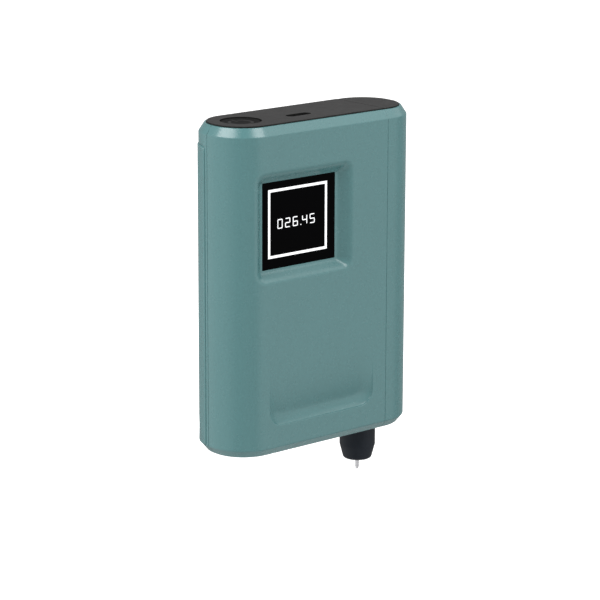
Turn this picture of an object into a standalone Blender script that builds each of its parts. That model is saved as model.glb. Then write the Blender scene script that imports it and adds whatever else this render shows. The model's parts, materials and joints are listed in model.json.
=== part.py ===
"""Hand-held diamond tester: a flat instrument with round ends, a screen, a thumb recess and a
sprung probe that points down from the right-hand side of its underside.

Metres, +Z up. The front faces -Y, and +X is to the right as the screen is read. The origin is the
middle of the flat rear cover, which lies on a table or against a hand.
"""

import math

import bmesh
import bpy
from mathutils import Matrix, Vector

# Body of the instrument
BODY_WIDTH = 0.0768
BODY_DEPTH = 0.0273
BODY_HEIGHT = 0.1055
CORNER_RADIUS = 0.0130
WALL = 0.0020
BOTTOM_WALL = 0.0020
TOP_CHAMFER_WIDTH = 0.0021
TOP_CHAMFER_HEIGHT = 0.0032
BOTTOM_CHAMFER_WIDTH = 0.0021
BOTTOM_CHAMFER_HEIGHT = 0.0025
TOP_RIM = 0.00025
PARTING_OFFSET = 0.00095

# Clearances, and how far a cutter runs past the face that it cuts
FIT_GAP = 0.0003
SOLDER_GAP = 0.00015
OVERRUN = 0.0010
LEAST_RADIUS = 0.0002
WELD_DISTANCE = 0.0000001

# Side cover, which parts from the body in the plane of the probe's axis
PROBE_INSET = 0.0150
TAB_REACH = 0.0040
TAB_THICKNESS = 0.0013
TAB_HEIGHT = 0.0120
TAB_ROOT = 0.0040
UPPER_TAB_FROM_TOP = 0.0180
LOWER_TAB_FROM_TOP = 0.0560
SADDLE_HEIGHT = 0.0040
SADDLE_SIDE = 0.0022
LOWER_SADDLE_FROM_BOTTOM = 0.0140
UPPER_SADDLE_FROM_BOTTOM = 0.0260

# Rear cover, which wraps round the rear half
COVER_THICKNESS = 0.0015
COVER_PROUD = 0.0003
COVER_EDGE_OFFSET = 0.0021
COVER_TOP_MARGIN = 0.0070
COVER_BOTTOM_MARGIN = 0.0025
COVER_CORNER_RADIUS = 0.0032
REAR_WALL = 0.0016

# Black top plate and its ledge
PLATE_THICKNESS = 0.0020
LEDGE_WIDTH = 0.0012
LEDGE_HEIGHT = 0.0015

# Power button and the switch under it
BUTTON_INSET = 0.0127
BUTTON_RADIUS = 0.0063
BUTTON_RECESS = 0.0003
BUTTON_DISH = 0.0003
BUTTON_FLANGE_WIDTH = 0.0012
BUTTON_FLANGE_HEIGHT = 0.0012
BUTTON_POST_RADIUS = 0.0016
BUTTON_TRAVEL = 0.0006
SWITCH_WIDTH = 0.0062
SWITCH_DEPTH = 0.0038
SWITCH_HEIGHT = 0.0036
PLUNGER_RADIUS = 0.0013
PLUNGER_REACH = 0.0018
PLUNGER_SOCKET = 0.0014

# Charging port
PORT_FROM_LEFT = 0.0333
PORT_OFFSET = 0.0031
PORT_SLOT_WIDTH = 0.0092
PORT_SLOT_DEPTH = 0.0032
PORT_SHELL_WIDTH = 0.0089
PORT_SHELL_DEPTH = 0.0032
PORT_SHELL_HEIGHT = 0.0073
PORT_SHELL_WALL = 0.0003
PORT_BASE_HEIGHT = 0.0012
TONGUE_WIDTH = 0.0066
TONGUE_DEPTH = 0.0007
TONGUE_HEIGHT = 0.0048

# Screen recess, window and display
RECESS_FROM_LEFT = 0.00795
RECESS_FROM_SEAM = 0.01495
RECESS_FROM_TOP = 0.01555
RECESS_HEIGHT = 0.0331
RECESS_DEPTH = 0.0031
RECESS_CORNER_RADIUS = 0.0028
RECESS_BACKING = 0.0015
RECESS_SIDE_SLOPE = 0.0037
RECESS_END_SLOPE = 0.0018
WINDOW_THICKNESS = 0.0011
WINDOW_CORNER_RADIUS = 0.0006
WINDOW_BORDER = 0.0010
WINDOW_LEDGE = 0.0016
WINDOW_LEDGE_THICKNESS = 0.0013
PANEL_THICKNESS = 0.0022
HOLDER_WALL = 0.0014
RIBBON_WIDTH = 0.0090
RIBBON_THICKNESS = 0.0003
RIBBON_DROP = 0.0032
DISPLAY_CONNECTOR_WIDTH = 0.0110
DISPLAY_CONNECTOR_DEPTH = 0.0016
DISPLAY_CONNECTOR_HEIGHT = 0.0028

# Thumb recess, a wedge that is deepest near its lower edge
GRIP_FROM_LEFT = 0.0132
GRIP_FROM_SEAM = 0.0056
GRIP_FROM_BOTTOM = 0.0096
GRIP_HEIGHT = 0.0270
GRIP_DEPTH = 0.0016
GRIP_CORNER_RADIUS = 0.0046
GRIP_SIDE_SLOPE = 0.0007
GRIP_LOWER_SLOPE = 0.0034
GRIP_FLOOR_HEIGHT = 0.0020
GRIP_BACKING = 0.0012

# Probe
SLEEVE_RADIUS = 0.0058
SLEEVE_REACH = 0.01425
SLEEVE_CONE_HEIGHT = 0.0058
SLEEVE_TIP_RADIUS = 0.0045
SLEEVE_TIP_FILLET = 0.0008
SLEEVE_TIP_WALL = 0.0040
COLLAR_WIDTH = 0.0015
COLLAR_HEIGHT = 0.0020
NECK_HEIGHT = 0.0036
BARREL_RADIUS = 0.0041
BARREL_WALL = 0.0010
BARREL_END_WALL = 0.0010
SPRING_SEAT_HEIGHT = 0.0015
PIN_RADIUS = 0.0006
PIN_REACH = 0.0028
PIN_POINT_HEIGHT = 0.0010
PIN_POINT_RADIUS = 0.00025
PIN_TRAVEL = 0.0018
SHOULDER_HEIGHT = 0.0016
ROD_RADIUS = 0.0010
ROD_OVER_SEAT = 0.0012
HEATER_LENGTH = 0.0065
HEATER_WIRE_SPACE = 0.0065
SPRING_SPACE = 0.0160
SPRING_RADIUS = 0.0020
SPRING_WIRE_RADIUS = 0.00025
END_CAP_FLANGE_WIDTH = 0.0005
END_CAP_FLANGE_HEIGHT = 0.0020
END_CAP_PLUG_LENGTH = 0.0040
CRADLE_OFFSET = 0.0078
CRADLE_THICKNESS = 0.0015
LEAD_RADIUS = 0.0008
PROBE_LEAD_SHARES = (
    (0.0, 0.0, 0.0),
    (0.0, 0.0, 0.35),
    (0.15, 0.25, 0.7),
    (0.5, 0.75, 0.96),
    (1.0, 1.0, 1.0),
)

# Main board and what it carries
BOARD_THICKNESS = 0.0012
BOARD_FROM_LEFT = 0.0034
BOARD_FROM_TOP = 0.0052
BOARD_FROM_BOTTOM = 0.0148
BOARD_CORNER_RADIUS = 0.0020
BOARD_TO_CRADLE = 0.0008
CHIP_HEIGHT = 0.0010
PROCESSOR_SIZE = 0.0080
PROCESSOR_FROM_CENTRE = 0.0030
CHARGER_SIZE = 0.0045
CHARGER_UNDER_TOP = 0.0035
AMPLIFIER_SIZE = 0.0050
AMPLIFIER_FROM_CRADLE = 0.0100
CHIPS_FROM_BOTTOM = 0.0400
AMPLIFIER_FROM_BOTTOM = 0.0320
BUZZER_RADIUS = 0.0045
BUZZER_HEIGHT = 0.0035
BUZZER_FROM_LEFT = 0.0170
BUZZER_FROM_BOTTOM = 0.0290
PROBE_CONNECTOR_WIDTH = 0.0040
PROBE_CONNECTOR_DEPTH = 0.0040
PROBE_CONNECTOR_HEIGHT = 0.0080
PROBE_CONNECTOR_UNDER_POST = 0.0014

# Battery
BATTERY_FROM_BOARD_SIDE = 0.0074
BATTERY_HEIGHT = 0.0500
BATTERY_CORNER_RADIUS = 0.0020
BATTERY_OVER_BOARD = 0.0028
BATTERY_FROM_BOTTOM = 0.0215
PAD_THICKNESS = 0.0006
PAD_MARGIN = 0.0040
SOCKET_WIDTH = 0.0060
SOCKET_DEPTH = 0.0034
SOCKET_HEIGHT = 0.0040
SOCKET_OVER_BATTERY = 0.0110
PLUG_HEIGHT = 0.0030
BATTERY_LEAD_RADIUS = 0.00045
BATTERY_LEAD_SPACING = 0.0028
BATTERY_LEAD_SHARES = ((0.0, 0.0), (0.0, 0.25), (0.5, 0.5), (1.0, 0.75), (1.0, 1.0))

# Screws and their bosses
BOSS_RADIUS = 0.0026
CASE_SCREW_RADIUS = 0.0010
CASE_SCREW_HEAD_RADIUS = 0.0018
CASE_SCREW_HEAD_HEIGHT = 0.0012
CASE_SCREW_BITE = 0.0060
CASE_SCREW_FROM_LEFT = 0.0145
CASE_SCREW_FROM_CRADLE = 0.0041
CASE_SCREW_FROM_TOP = 0.0156
CASE_SCREW_FROM_BOTTOM = 0.0086
POST_RADIUS = 0.0020
BOARD_SCREW_RADIUS = 0.0008
BOARD_SCREW_HEAD_RADIUS = 0.0014
BOARD_SCREW_HEAD_HEIGHT = 0.0009
BOARD_SCREW_BITE = 0.0040
POST_FROM_BOARD_SIDE = 0.0036
POST_UNDER_SCREEN = 0.0040
POST_FROM_BOARD_BOTTOM = 0.0080
SCREW_SOCKET_SHARE = 0.5

# Touch plate on the back
TOUCH_WIDTH = 0.0340
TOUCH_HEIGHT = 0.0170
TOUCH_THICKNESS = 0.0006
TOUCH_SET_BACK = 0.0001
TOUCH_CORNER_RADIUS = 0.0040
TOUCH_FROM_BOTTOM = 0.0222
CONTACT_RADIUS = 0.0011
CONTACT_TIP_RADIUS = 0.0007
CONTACT_BARREL_LENGTH = 0.0070
CONTACT_UNDER_CENTRE = 0.0050

# How finely the round shapes are divided
CORNER_STEPS = 9
SMALL_CORNER_STEPS = 4
LARGE_SIDES = 40
SMALL_SIDES = 16
FILLET_STEPS = 4
SPRING_TURNS = 8
SPRING_POINTS_PER_TURN = 10
ROUTE_STEPS_PER_SPAN = 4
SHARP_ANGLE = math.radians(30)

# Colours as linear red, green and blue, then roughness and metallic value
FINISHES = {
    "teal_plastic": ((0.122, 0.246, 0.231), 0.42, 0.0),
    "black_plastic": ((0.032, 0.031, 0.031), 0.5, 0.0),
    "button_plastic": ((0.018, 0.018, 0.018), 0.35, 0.0),
    "nose_plastic": ((0.016, 0.018, 0.028), 0.5, 0.0),
    "screen_glass": ((0.002, 0.002, 0.002), 0.08, 0.0),
    "display_glass": ((0.02, 0.02, 0.025), 0.2, 0.0),
    "steel": ((0.56, 0.56, 0.58), 0.28, 1.0),
    "spring_steel": ((0.45, 0.45, 0.47), 0.32, 1.0),
    "brass": ((0.62, 0.44, 0.18), 0.3, 1.0),
    "circuit_board": ((0.012, 0.085, 0.035), 0.45, 0.0),
    "chip_resin": ((0.012, 0.012, 0.013), 0.55, 0.0),
    "ivory_nylon": ((0.62, 0.58, 0.47), 0.55, 0.0),
    "ceramic": ((0.66, 0.64, 0.6), 0.6, 0.0),
    "battery_foil": ((0.4, 0.42, 0.46), 0.38, 0.7),
    "foam": ((0.045, 0.045, 0.05), 0.95, 0.0),
    "amber_film": ((0.5, 0.2, 0.03), 0.4, 0.0),
    "red_insulation": ((0.45, 0.02, 0.015), 0.5, 0.0),
    "black_insulation": ((0.015, 0.015, 0.015), 0.5, 0.0),
    "grey_insulation": ((0.16, 0.16, 0.17), 0.5, 0.0),
}

# The body's own frame has its zero in the middle of the body
half_width = BODY_WIDTH / 2
half_depth = BODY_DEPTH / 2
half_height = BODY_HEIGHT / 2
corner_radius = min(CORNER_RADIUS, half_depth)
rear_face_y = half_depth + COVER_PROUD
inside_bottom = -half_height + BOTTOM_WALL

# Planes in which the shells part
probe_x = half_width - PROBE_INSET
body_end_x = probe_x - FIT_GAP / 2
side_cover_x = probe_x + FIT_GAP / 2
front_shell_y = PARTING_OFFSET - FIT_GAP / 2
rear_shell_y = PARTING_OFFSET + FIT_GAP / 2

# Insets from the body's outline
pocket_inset = TOP_CHAMFER_WIDTH + TOP_RIM
plate_inset = pocket_inset + FIT_GAP
ledge_inset = plate_inset + LEDGE_WIDTH
cover_inner_inset = COVER_THICKNESS - COVER_PROUD
rear_shell_inset = cover_inner_inset + FIT_GAP
rear_cavity_inset = rear_shell_inset + REAR_WALL

# Heights under the top plate
plate_bottom = half_height - PLATE_THICKNESS
ledge_top = plate_bottom - FIT_GAP
ledge_bottom = ledge_top - LEDGE_HEIGHT

# Depths through the rear
cover_inner_y = half_depth - cover_inner_inset
rear_wall_outer_y = half_depth - rear_shell_inset
rear_wall_inner_y = half_depth - rear_cavity_inset

# Screen stack, from the front backwards
recess_width = probe_x + half_width - RECESS_FROM_LEFT - RECESS_FROM_SEAM
screen_x = -half_width + RECESS_FROM_LEFT + recess_width / 2
screen_z = half_height - RECESS_FROM_TOP - RECESS_HEIGHT / 2
window_width = recess_width - 2 * (RECESS_SIDE_SLOPE + WINDOW_BORDER)
window_height = RECESS_HEIGHT - 2 * (RECESS_END_SLOPE + WINDOW_BORDER)
window_front_y = -half_depth + RECESS_DEPTH
window_back_y = window_front_y + WINDOW_THICKNESS
window_seat_y = window_back_y + FIT_GAP
screen_ledge_back_y = window_seat_y + WINDOW_LEDGE_THICKNESS
panel_width = window_width - 2 * (WINDOW_LEDGE + FIT_GAP)
panel_height = window_height - 2 * (WINDOW_LEDGE + FIT_GAP)
panel_front_y = window_seat_y
panel_back_y = panel_front_y + PANEL_THICKNESS

# Charging port, which sets the plane of the board
port_x = -half_width + PORT_FROM_LEFT
port_y = -PORT_OFFSET
port_top = plate_bottom - FIT_GAP
port_bottom = port_top - PORT_SHELL_HEIGHT
board_front_y = port_y + PORT_SHELL_DEPTH / 2 + SOLDER_GAP
board_back_y = board_front_y + BOARD_THICKNESS

# Cradle and board
cradle_x = probe_x - CRADLE_OFFSET
cradle_right_x = cradle_x + CRADLE_THICKNESS
board_left_x = -half_width + BOARD_FROM_LEFT
board_right_x = cradle_x - BOARD_TO_CRADLE
board_top = half_height - BOARD_FROM_TOP
board_bottom = -half_height + BOARD_FROM_BOTTOM
part_face_y = board_front_y - SOLDER_GAP

# Power button
button_x = -half_width + BUTTON_INSET
button_top = half_height - BUTTON_RECESS
flange_top = plate_bottom - FIT_GAP
flange_bottom = flange_top - BUTTON_FLANGE_HEIGHT
switch_y = part_face_y - SWITCH_DEPTH / 2
plunger_top = flange_bottom - BUTTON_TRAVEL - FIT_GAP
switch_top = plunger_top - PLUNGER_REACH
switch_bottom = switch_top - SWITCH_HEIGHT

# Thumb recess
grip_left_x = -half_width + GRIP_FROM_LEFT
grip_right_x = probe_x - GRIP_FROM_SEAM
grip_bottom = -half_height + GRIP_FROM_BOTTOM
grip_top = grip_bottom + GRIP_HEIGHT
grip_backing_y = -half_depth + GRIP_DEPTH + GRIP_BACKING

# Probe, along its axis
sleeve_tip_z = -half_height - SLEEVE_REACH
sleeve_floor_z = sleeve_tip_z + SLEEVE_TIP_WALL
collar_bottom = inside_bottom + FIT_GAP
collar_top = collar_bottom + COLLAR_HEIGHT
neck_top = collar_top + NECK_HEIGHT
barrel_bore = BARREL_RADIUS - BARREL_WALL
barrel_bottom = sleeve_floor_z + FIT_GAP
pin_tip_z = sleeve_tip_z - PIN_REACH
shoulder_bottom = barrel_bottom + BARREL_END_WALL + FIT_GAP
shoulder_top = shoulder_bottom + SHOULDER_HEIGHT
spring_seat_bottom = shoulder_top + SPRING_SPACE
spring_seat_top = spring_seat_bottom + SPRING_SEAT_HEIGHT
rod_top = spring_seat_top + ROD_OVER_SEAT
heater_bottom = rod_top + FIT_GAP
heater_top = heater_bottom + HEATER_LENGTH
plug_bottom = heater_top + PIN_TRAVEL + HEATER_WIRE_SPACE
barrel_top = plug_bottom + END_CAP_PLUG_LENGTH - FIT_GAP
saddle_centres = (
    -half_height + LOWER_SADDLE_FROM_BOTTOM,
    -half_height + UPPER_SADDLE_FROM_BOTTOM,
)

# Battery
battery_x = (board_left_x + board_right_x) / 2
battery_half_width = (board_right_x - board_left_x) / 2 - BATTERY_FROM_BOARD_SIDE
battery_front_y = board_back_y + BATTERY_OVER_BOARD
battery_back_y = rear_wall_inner_y - PAD_THICKNESS - 2 * FIT_GAP
battery_bottom = -half_height + BATTERY_FROM_BOTTOM
battery_top = battery_bottom + BATTERY_HEIGHT
socket_z = battery_top + SOCKET_OVER_BATTERY
socket_x = battery_x + battery_half_width / 2

# Screws
case_screw_places = [
    (-half_width + CASE_SCREW_FROM_LEFT, half_height - CASE_SCREW_FROM_TOP),
    (cradle_x - CASE_SCREW_FROM_CRADLE, half_height - CASE_SCREW_FROM_TOP),
    (-half_width + CASE_SCREW_FROM_LEFT, -half_height + CASE_SCREW_FROM_BOTTOM),
    (cradle_x - CASE_SCREW_FROM_CRADLE, -half_height + CASE_SCREW_FROM_BOTTOM),
]
upper_post_z = screen_z - RECESS_HEIGHT / 2 - RECESS_BACKING - POST_UNDER_SCREEN
lower_post_z = board_bottom + POST_FROM_BOARD_BOTTOM
board_screw_places = [
    (board_left_x + POST_FROM_BOARD_SIDE, upper_post_z),
    (board_right_x - POST_FROM_BOARD_SIDE, upper_post_z),
    (board_left_x + POST_FROM_BOARD_SIDE, lower_post_z),
    (board_right_x - POST_FROM_BOARD_SIDE, lower_post_z),
]
connector_top = upper_post_z - POST_RADIUS - PROBE_CONNECTOR_UNDER_POST
connector_z = connector_top - PROBE_CONNECTOR_HEIGHT / 2
connector_y = part_face_y - PROBE_CONNECTOR_DEPTH / 2
case_head_floor_y = rear_wall_outer_y - CASE_SCREW_HEAD_HEIGHT - FIT_GAP

# Touch plate
touch_x = (body_end_x - half_width) / 2
touch_z = -half_height + TOUCH_FROM_BOTTOM
touch_outer_y = rear_face_y - TOUCH_SET_BACK
touch_inner_y = touch_outer_y - TOUCH_THICKNESS
contact_z = touch_z - CONTACT_UNDER_CENTRE

# A length that reaches past the whole instrument, for blocks that cut it in two
reach = BODY_WIDTH + BODY_HEIGHT


def clear_scene():
    """Removes the objects of the startup scene."""
    for old in list(bpy.data.objects):
        bpy.data.objects.remove(old, do_unlink=True)


def make_material(name):
    """One Principled material from the table of finishes."""
    colour, roughness, metallic = FINISHES[name]
    material = bpy.data.materials.new(name)
    material.use_nodes = True
    shader = material.node_tree.nodes["Principled BSDF"]
    shader.inputs["Base Color"].default_value = (*colour, 1.0)
    shader.inputs["Roughness"].default_value = roughness
    shader.inputs["Metallic"].default_value = metallic
    return material


def make_frame():
    """The empty that carries every piece: it puts the middle of the rear cover at the origin."""
    frame = bpy.data.objects.new("tester_frame", None)
    frame.location = (0, -rear_face_y, 0)
    bpy.context.scene.collection.objects.link(frame)
    return frame


def place(name, data, finish=None, location=(0, 0, 0), rotation=(0, 0, 0)):
    """Puts a mesh or curve into the scene under the frame, with its material if it has one."""
    piece = bpy.data.objects.new(name, data)
    piece.location = location
    piece.rotation_euler = rotation
    piece.parent = frame
    bpy.context.scene.collection.objects.link(piece)
    if finish:
        data.materials.append(materials[finish])
    return piece


def as_cutter(piece):
    """Marks a shape as a tool for cutting: it isn't a piece of the instrument."""
    piece.hide_render = True
    piece.display_type = "WIRE"
    return piece


def closed_mesh(name, points, faces):
    """A mesh from points and faces, with points that coincide made one and its faces outwards."""
    mesh = bpy.data.meshes.new(name)
    mesh.from_pydata(points, [], faces)
    work = bmesh.new()
    work.from_mesh(mesh)
    bmesh.ops.remove_doubles(work, verts=work.verts, dist=WELD_DISTANCE)
    bmesh.ops.recalc_face_normals(work, faces=work.faces)
    work.to_mesh(mesh)
    work.free()
    mesh.shade_smooth()
    return mesh


def rounded(half_a, half_b, radius, steps=CORNER_STEPS, centre=(0, 0)):
    """The outline of a rounded rectangle, anticlockwise, as pairs (a, b)."""
    radius = max(min(radius, half_a, half_b), LEAST_RADIUS)
    points = []
    for quarter, (side_a, side_b) in enumerate(((1, 1), (-1, 1), (-1, -1), (1, -1))):
        for step in range(steps + 1):
            angle = math.radians(90) * (quarter + step / steps)
            a = side_a * (half_a - radius) + radius * math.cos(angle)
            b = side_b * (half_b - radius) + radius * math.sin(angle)
            points.append((centre[0] + a, centre[1] + b))
    return points


def body_outline(inset):
    """The body's outline seen from above, drawn in by a distance."""
    return rounded(half_width - inset, half_depth - inset, corner_radius - inset)


def to_space(axis, a, b, level):
    """A point of an outline at a level along an axis, as a point in space."""
    if axis == "X":
        return (level, a, b)
    if axis == "Y":
        return (a, level, b)
    return (a, b, level)


def lofted(name, rings, axis="Z"):
    """A mesh through outlines of equal count, each given as (points, level), closed at both ends."""
    points = [to_space(axis, a, b, level) for outline, level in rings for a, b in outline]
    count = len(rings[0][0])
    faces = [list(range(count)), [len(points) - count + i for i in range(count)]]
    for ring in range(len(rings) - 1):
        for i in range(count):
            start = ring * count
            after = (i + 1) % count
            faces.append([start + i, start + after, start + count + after, start + count + i])
    return closed_mesh(name, points, faces)


def prism(name, outline, low, high, axis="Z"):
    """A mesh of one outline carried from a low to a high level."""
    return lofted(name, [(outline, low), (outline, high)], axis)


def block(name, low, high):
    """A box mesh between two corners."""
    outline = [(low[0], low[1]), (high[0], low[1]), (high[0], high[1]), (low[0], high[1])]
    return prism(name, outline, low[2], high[2])


def turned(name, profile, sides=LARGE_SIDES, loop=False):
    """A mesh turned about Z from (radius, height) pairs, which form a loop round a bore if asked."""
    points = []
    for radius, height in profile:
        for i in range(sides):
            angle = math.radians(360) * i / sides
            points.append((radius * math.cos(angle), radius * math.sin(angle), height))
    faces = []
    last = len(profile) if loop else len(profile) - 1
    for ring in range(last):
        start = ring * sides
        above = (ring + 1) % len(profile) * sides
        for i in range(sides):
            after = (i + 1) % sides
            faces.append([start + i, start + after, above + after, above + i])
    return closed_mesh(name, points, faces)


def round_bars(name, places, radius, low, high, axis="Y", sides=SMALL_SIDES):
    """One mesh of parallel round bars, one at each place across the axis."""
    points = []
    faces = []
    for centre_a, centre_b in places:
        start = len(points)
        for level in (low, high):
            for i in range(sides):
                angle = math.radians(360) * i / sides
                a = centre_a + radius * math.cos(angle)
                b = centre_b + radius * math.sin(angle)
                points.append(to_space(axis, a, b, level))
        faces.append([start + i for i in range(sides)])
        faces.append([start + sides + i for i in range(sides)])
        for i in range(sides):
            after = (i + 1) % sides
            faces.append([start + i, start + after, start + sides + after, start + sides + i])
    return closed_mesh(name, points, faces)


def cut(piece, tool, operation="DIFFERENCE"):
    """Cuts a piece by a tool with an exact Boolean that stays on the piece."""
    modifier = piece.modifiers.new(tool.name, "BOOLEAN")
    modifier.operation = operation
    modifier.solver = "EXACT"
    modifier.object = as_cutter(tool)
    return piece


def smooth_route(stops):
    """Points of one smooth curve through the stops of a lead, by Catmull-Rom spans."""
    stops = [Vector(stop) for stop in stops]
    padded = [2 * stops[0] - stops[1], *stops, 2 * stops[-1] - stops[-2]]
    route = []
    for a, b, c, d in zip(padded, padded[1:], padded[2:], padded[3:]):
        for step in range(ROUTE_STEPS_PER_SPAN):
            t = step / ROUTE_STEPS_PER_SPAN
            bend = 2 * a - 5 * b + 4 * c - d
            twist = -a + 3 * b - 3 * c + d
            route.append(0.5 * (2 * b + (c - a) * t + bend * t**2 + twist * t**3))
    route.append(stops[-1])
    return route


def tube(name, points, radius, finish, location=(0, 0, 0), resolution=2):
    """A round wire or lead along its points, with closed ends."""
    curve = bpy.data.curves.new(name, "CURVE")
    curve.dimensions = "3D"
    curve.bevel_depth = radius
    curve.bevel_resolution = resolution
    curve.use_fill_caps = True
    spline = curve.splines.new("POLY")
    spline.points.add(len(points) - 1)
    for slot, point in zip(spline.points, points):
        slot.co = (*point, 1)
    return place(name, curve, finish, location)


def body_solid(name):
    """The whole outside of the body, with the chamfers round its top and its bottom."""
    rings = [
        (body_outline(BOTTOM_CHAMFER_WIDTH), -half_height),
        (body_outline(0), -half_height + BOTTOM_CHAMFER_HEIGHT),
        (body_outline(0), half_height - TOP_CHAMFER_HEIGHT),
        (body_outline(TOP_CHAMFER_WIDTH), half_height),
    ]
    return lofted(name, rings)


def hollow(name, inset, kept):
    """The space inside a shell, with the ledge of the top plate; kept shapes stay solid in it."""
    rings = [
        (body_outline(inset + BOTTOM_CHAMFER_WIDTH), inside_bottom),
        (body_outline(inset), inside_bottom + BOTTOM_CHAMFER_HEIGHT),
        (body_outline(inset), ledge_bottom - TOP_CHAMFER_HEIGHT),
        (body_outline(ledge_inset), ledge_bottom),
        (body_outline(ledge_inset), half_height + OVERRUN),
    ]
    space = place(name, lofted(name, rings))
    for i, mesh in enumerate(kept):
        cut(space, place(f"{name}_kept_{i}", mesh))
    return space


def plate_pocket(name):
    """The pocket in the top of the shells that the top plate lies in."""
    outline = body_outline(pocket_inset)
    return place(name, prism(name, outline, ledge_top, half_height + OVERRUN))


def sleeve_hole(name):
    """The round hole in the underside that the probe's sleeve comes out of."""
    radius = SLEEVE_RADIUS + FIT_GAP
    low = -half_height - OVERRUN
    high = inside_bottom + OVERRUN
    mesh = round_bars(name, [(probe_x, 0)], radius, low, high, "Z", LARGE_SIDES)
    return place(name, mesh)


def screen_recess():
    """The sloping recess round the screen, widest at the front face."""
    centre = (screen_x, screen_z)
    rings = []
    for depth in (-OVERRUN, RECESS_DEPTH):
        share = depth / RECESS_DEPTH
        half_a = recess_width / 2 - RECESS_SIDE_SLOPE * share
        half_b = RECESS_HEIGHT / 2 - RECESS_END_SLOPE * share
        radius = RECESS_CORNER_RADIUS * (1 - share / 2)
        outline = rounded(half_a, half_b, radius, SMALL_CORNER_STEPS, centre)
        rings.append((outline, -half_depth + depth))
    return place("screen_recess", lofted("screen_recess", rings, "Y"))


def window_outline(margin):
    """The outline of the screen window in the front, made larger by a margin."""
    half_a = window_width / 2 + margin
    half_b = window_height / 2 + margin
    radius = WINDOW_CORNER_RADIUS + max(margin, 0)
    return rounded(half_a, half_b, radius, SMALL_CORNER_STEPS, (screen_x, screen_z))


def window_pocket():
    """The pocket that holds the screen window, open to the front."""
    front = window_front_y - OVERRUN
    mesh = prism("window_pocket", window_outline(FIT_GAP), front, window_seat_y, "Y")
    return place("window_pocket", mesh)


def window_opening():
    """The opening behind the window, through which the display shows."""
    front = window_front_y - OVERRUN
    back = screen_ledge_back_y + OVERRUN
    mesh = prism("window_opening", window_outline(-WINDOW_LEDGE), front, back, "Y")
    return place("window_opening", mesh)


def grip_recess():
    """The thumb recess: a wedge from nothing at its top to its full depth by the lower slope."""
    width = grip_right_x - grip_left_x
    centre_x = (grip_left_x + grip_right_x) / 2
    floor_top = grip_bottom + GRIP_LOWER_SLOPE + GRIP_FLOOR_HEIGHT
    rings = []
    for depth in (-OVERRUN, GRIP_DEPTH):
        share = depth / GRIP_DEPTH
        low = grip_bottom + GRIP_LOWER_SLOPE * share
        high = grip_top + (floor_top - grip_top) * share
        half_a = width / 2 - GRIP_SIDE_SLOPE * share
        half_b = (high - low) / 2
        centre = (centre_x, (low + high) / 2)
        radius = GRIP_CORNER_RADIUS * (1 - share / 2)
        outline = rounded(half_a, half_b, radius, SMALL_CORNER_STEPS, centre)
        rings.append((outline, -half_depth + depth))
    return place("grip_recess", lofted("grip_recess", rings, "Y"))


def front_backings():
    """The thicker stretches of the front wall behind the two recesses."""
    half_a = recess_width / 2 + RECESS_BACKING
    half_b = RECESS_HEIGHT / 2 + RECESS_BACKING
    outer_y = -half_depth - OVERRUN
    screen = block(
        "screen_backing",
        (screen_x - half_a, outer_y, screen_z - half_b),
        (screen_x + half_a, screen_ledge_back_y, screen_z + half_b),
    )
    grip = block(
        "grip_backing",
        (grip_left_x - GRIP_BACKING, outer_y, grip_bottom - GRIP_BACKING),
        (grip_right_x + GRIP_BACKING, grip_backing_y, grip_top),
    )
    return [screen, grip]


def make_front_shell():
    """The front half of the body, with the recesses, the bosses and the board's posts."""
    shell = place("front_shell", body_solid("front_shell"), "teal_plastic")
    half_space = block("front_half", (-reach, -reach, -reach), (body_end_x, front_shell_y, reach))
    cut(shell, place("front_half", half_space), "INTERSECT")
    outer_y = -half_depth - OVERRUN
    post_top = board_front_y - FIT_GAP
    bosses = round_bars(
        "front_bosses", case_screw_places, BOSS_RADIUS, outer_y, front_shell_y + OVERRUN
    )
    posts = round_bars("board_posts", board_screw_places, POST_RADIUS, outer_y, post_top)
    cut(shell, hollow("front_hollow", WALL, [*front_backings(), bosses, posts]))
    cut(shell, plate_pocket("front_plate_pocket"))
    cut(shell, screen_recess())
    cut(shell, window_pocket())
    cut(shell, window_opening())
    cut(shell, grip_recess())
    cut(shell, sleeve_hole("front_sleeve_hole"))
    shank = CASE_SCREW_RADIUS + FIT_GAP
    low = front_shell_y - CASE_SCREW_BITE - FIT_GAP
    high = front_shell_y + OVERRUN
    cut(shell, place("front_screw_holes", round_bars(
        "front_screw_holes", case_screw_places, shank, low, high)))
    shank = BOARD_SCREW_RADIUS + FIT_GAP
    low = post_top - BOARD_SCREW_BITE - FIT_GAP
    high = post_top + OVERRUN
    cut(shell, place("post_holes", round_bars(
        "post_holes", board_screw_places, shank, low, high)))
    return shell


def wrap_side(inset, front_y, end_x):
    """One side of the rear cover's section: from its front edge, round the left end, to the right."""
    radius = corner_radius - inset
    centre_x = -half_width + corner_radius
    centre_y = half_depth - corner_radius
    start = math.asin(max(front_y - centre_y, 0) / radius)
    points = [(centre_x - radius * math.cos(start), front_y)]
    for step in range(1, CORNER_STEPS + 1):
        angle = start + (math.radians(90) - start) * step / CORNER_STEPS
        points.append((centre_x - radius * math.cos(angle), centre_y + radius * math.sin(angle)))
    points.append((end_x, half_depth - inset))
    return points


def wrap_outline(outer_inset, inner_inset, front_y, end_x):
    """The section of the rear cover between two insets, seen from above."""
    outer = wrap_side(outer_inset, front_y, end_x)
    inner = wrap_side(inner_inset, front_y, end_x)
    return outer + inner[::-1]


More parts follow.
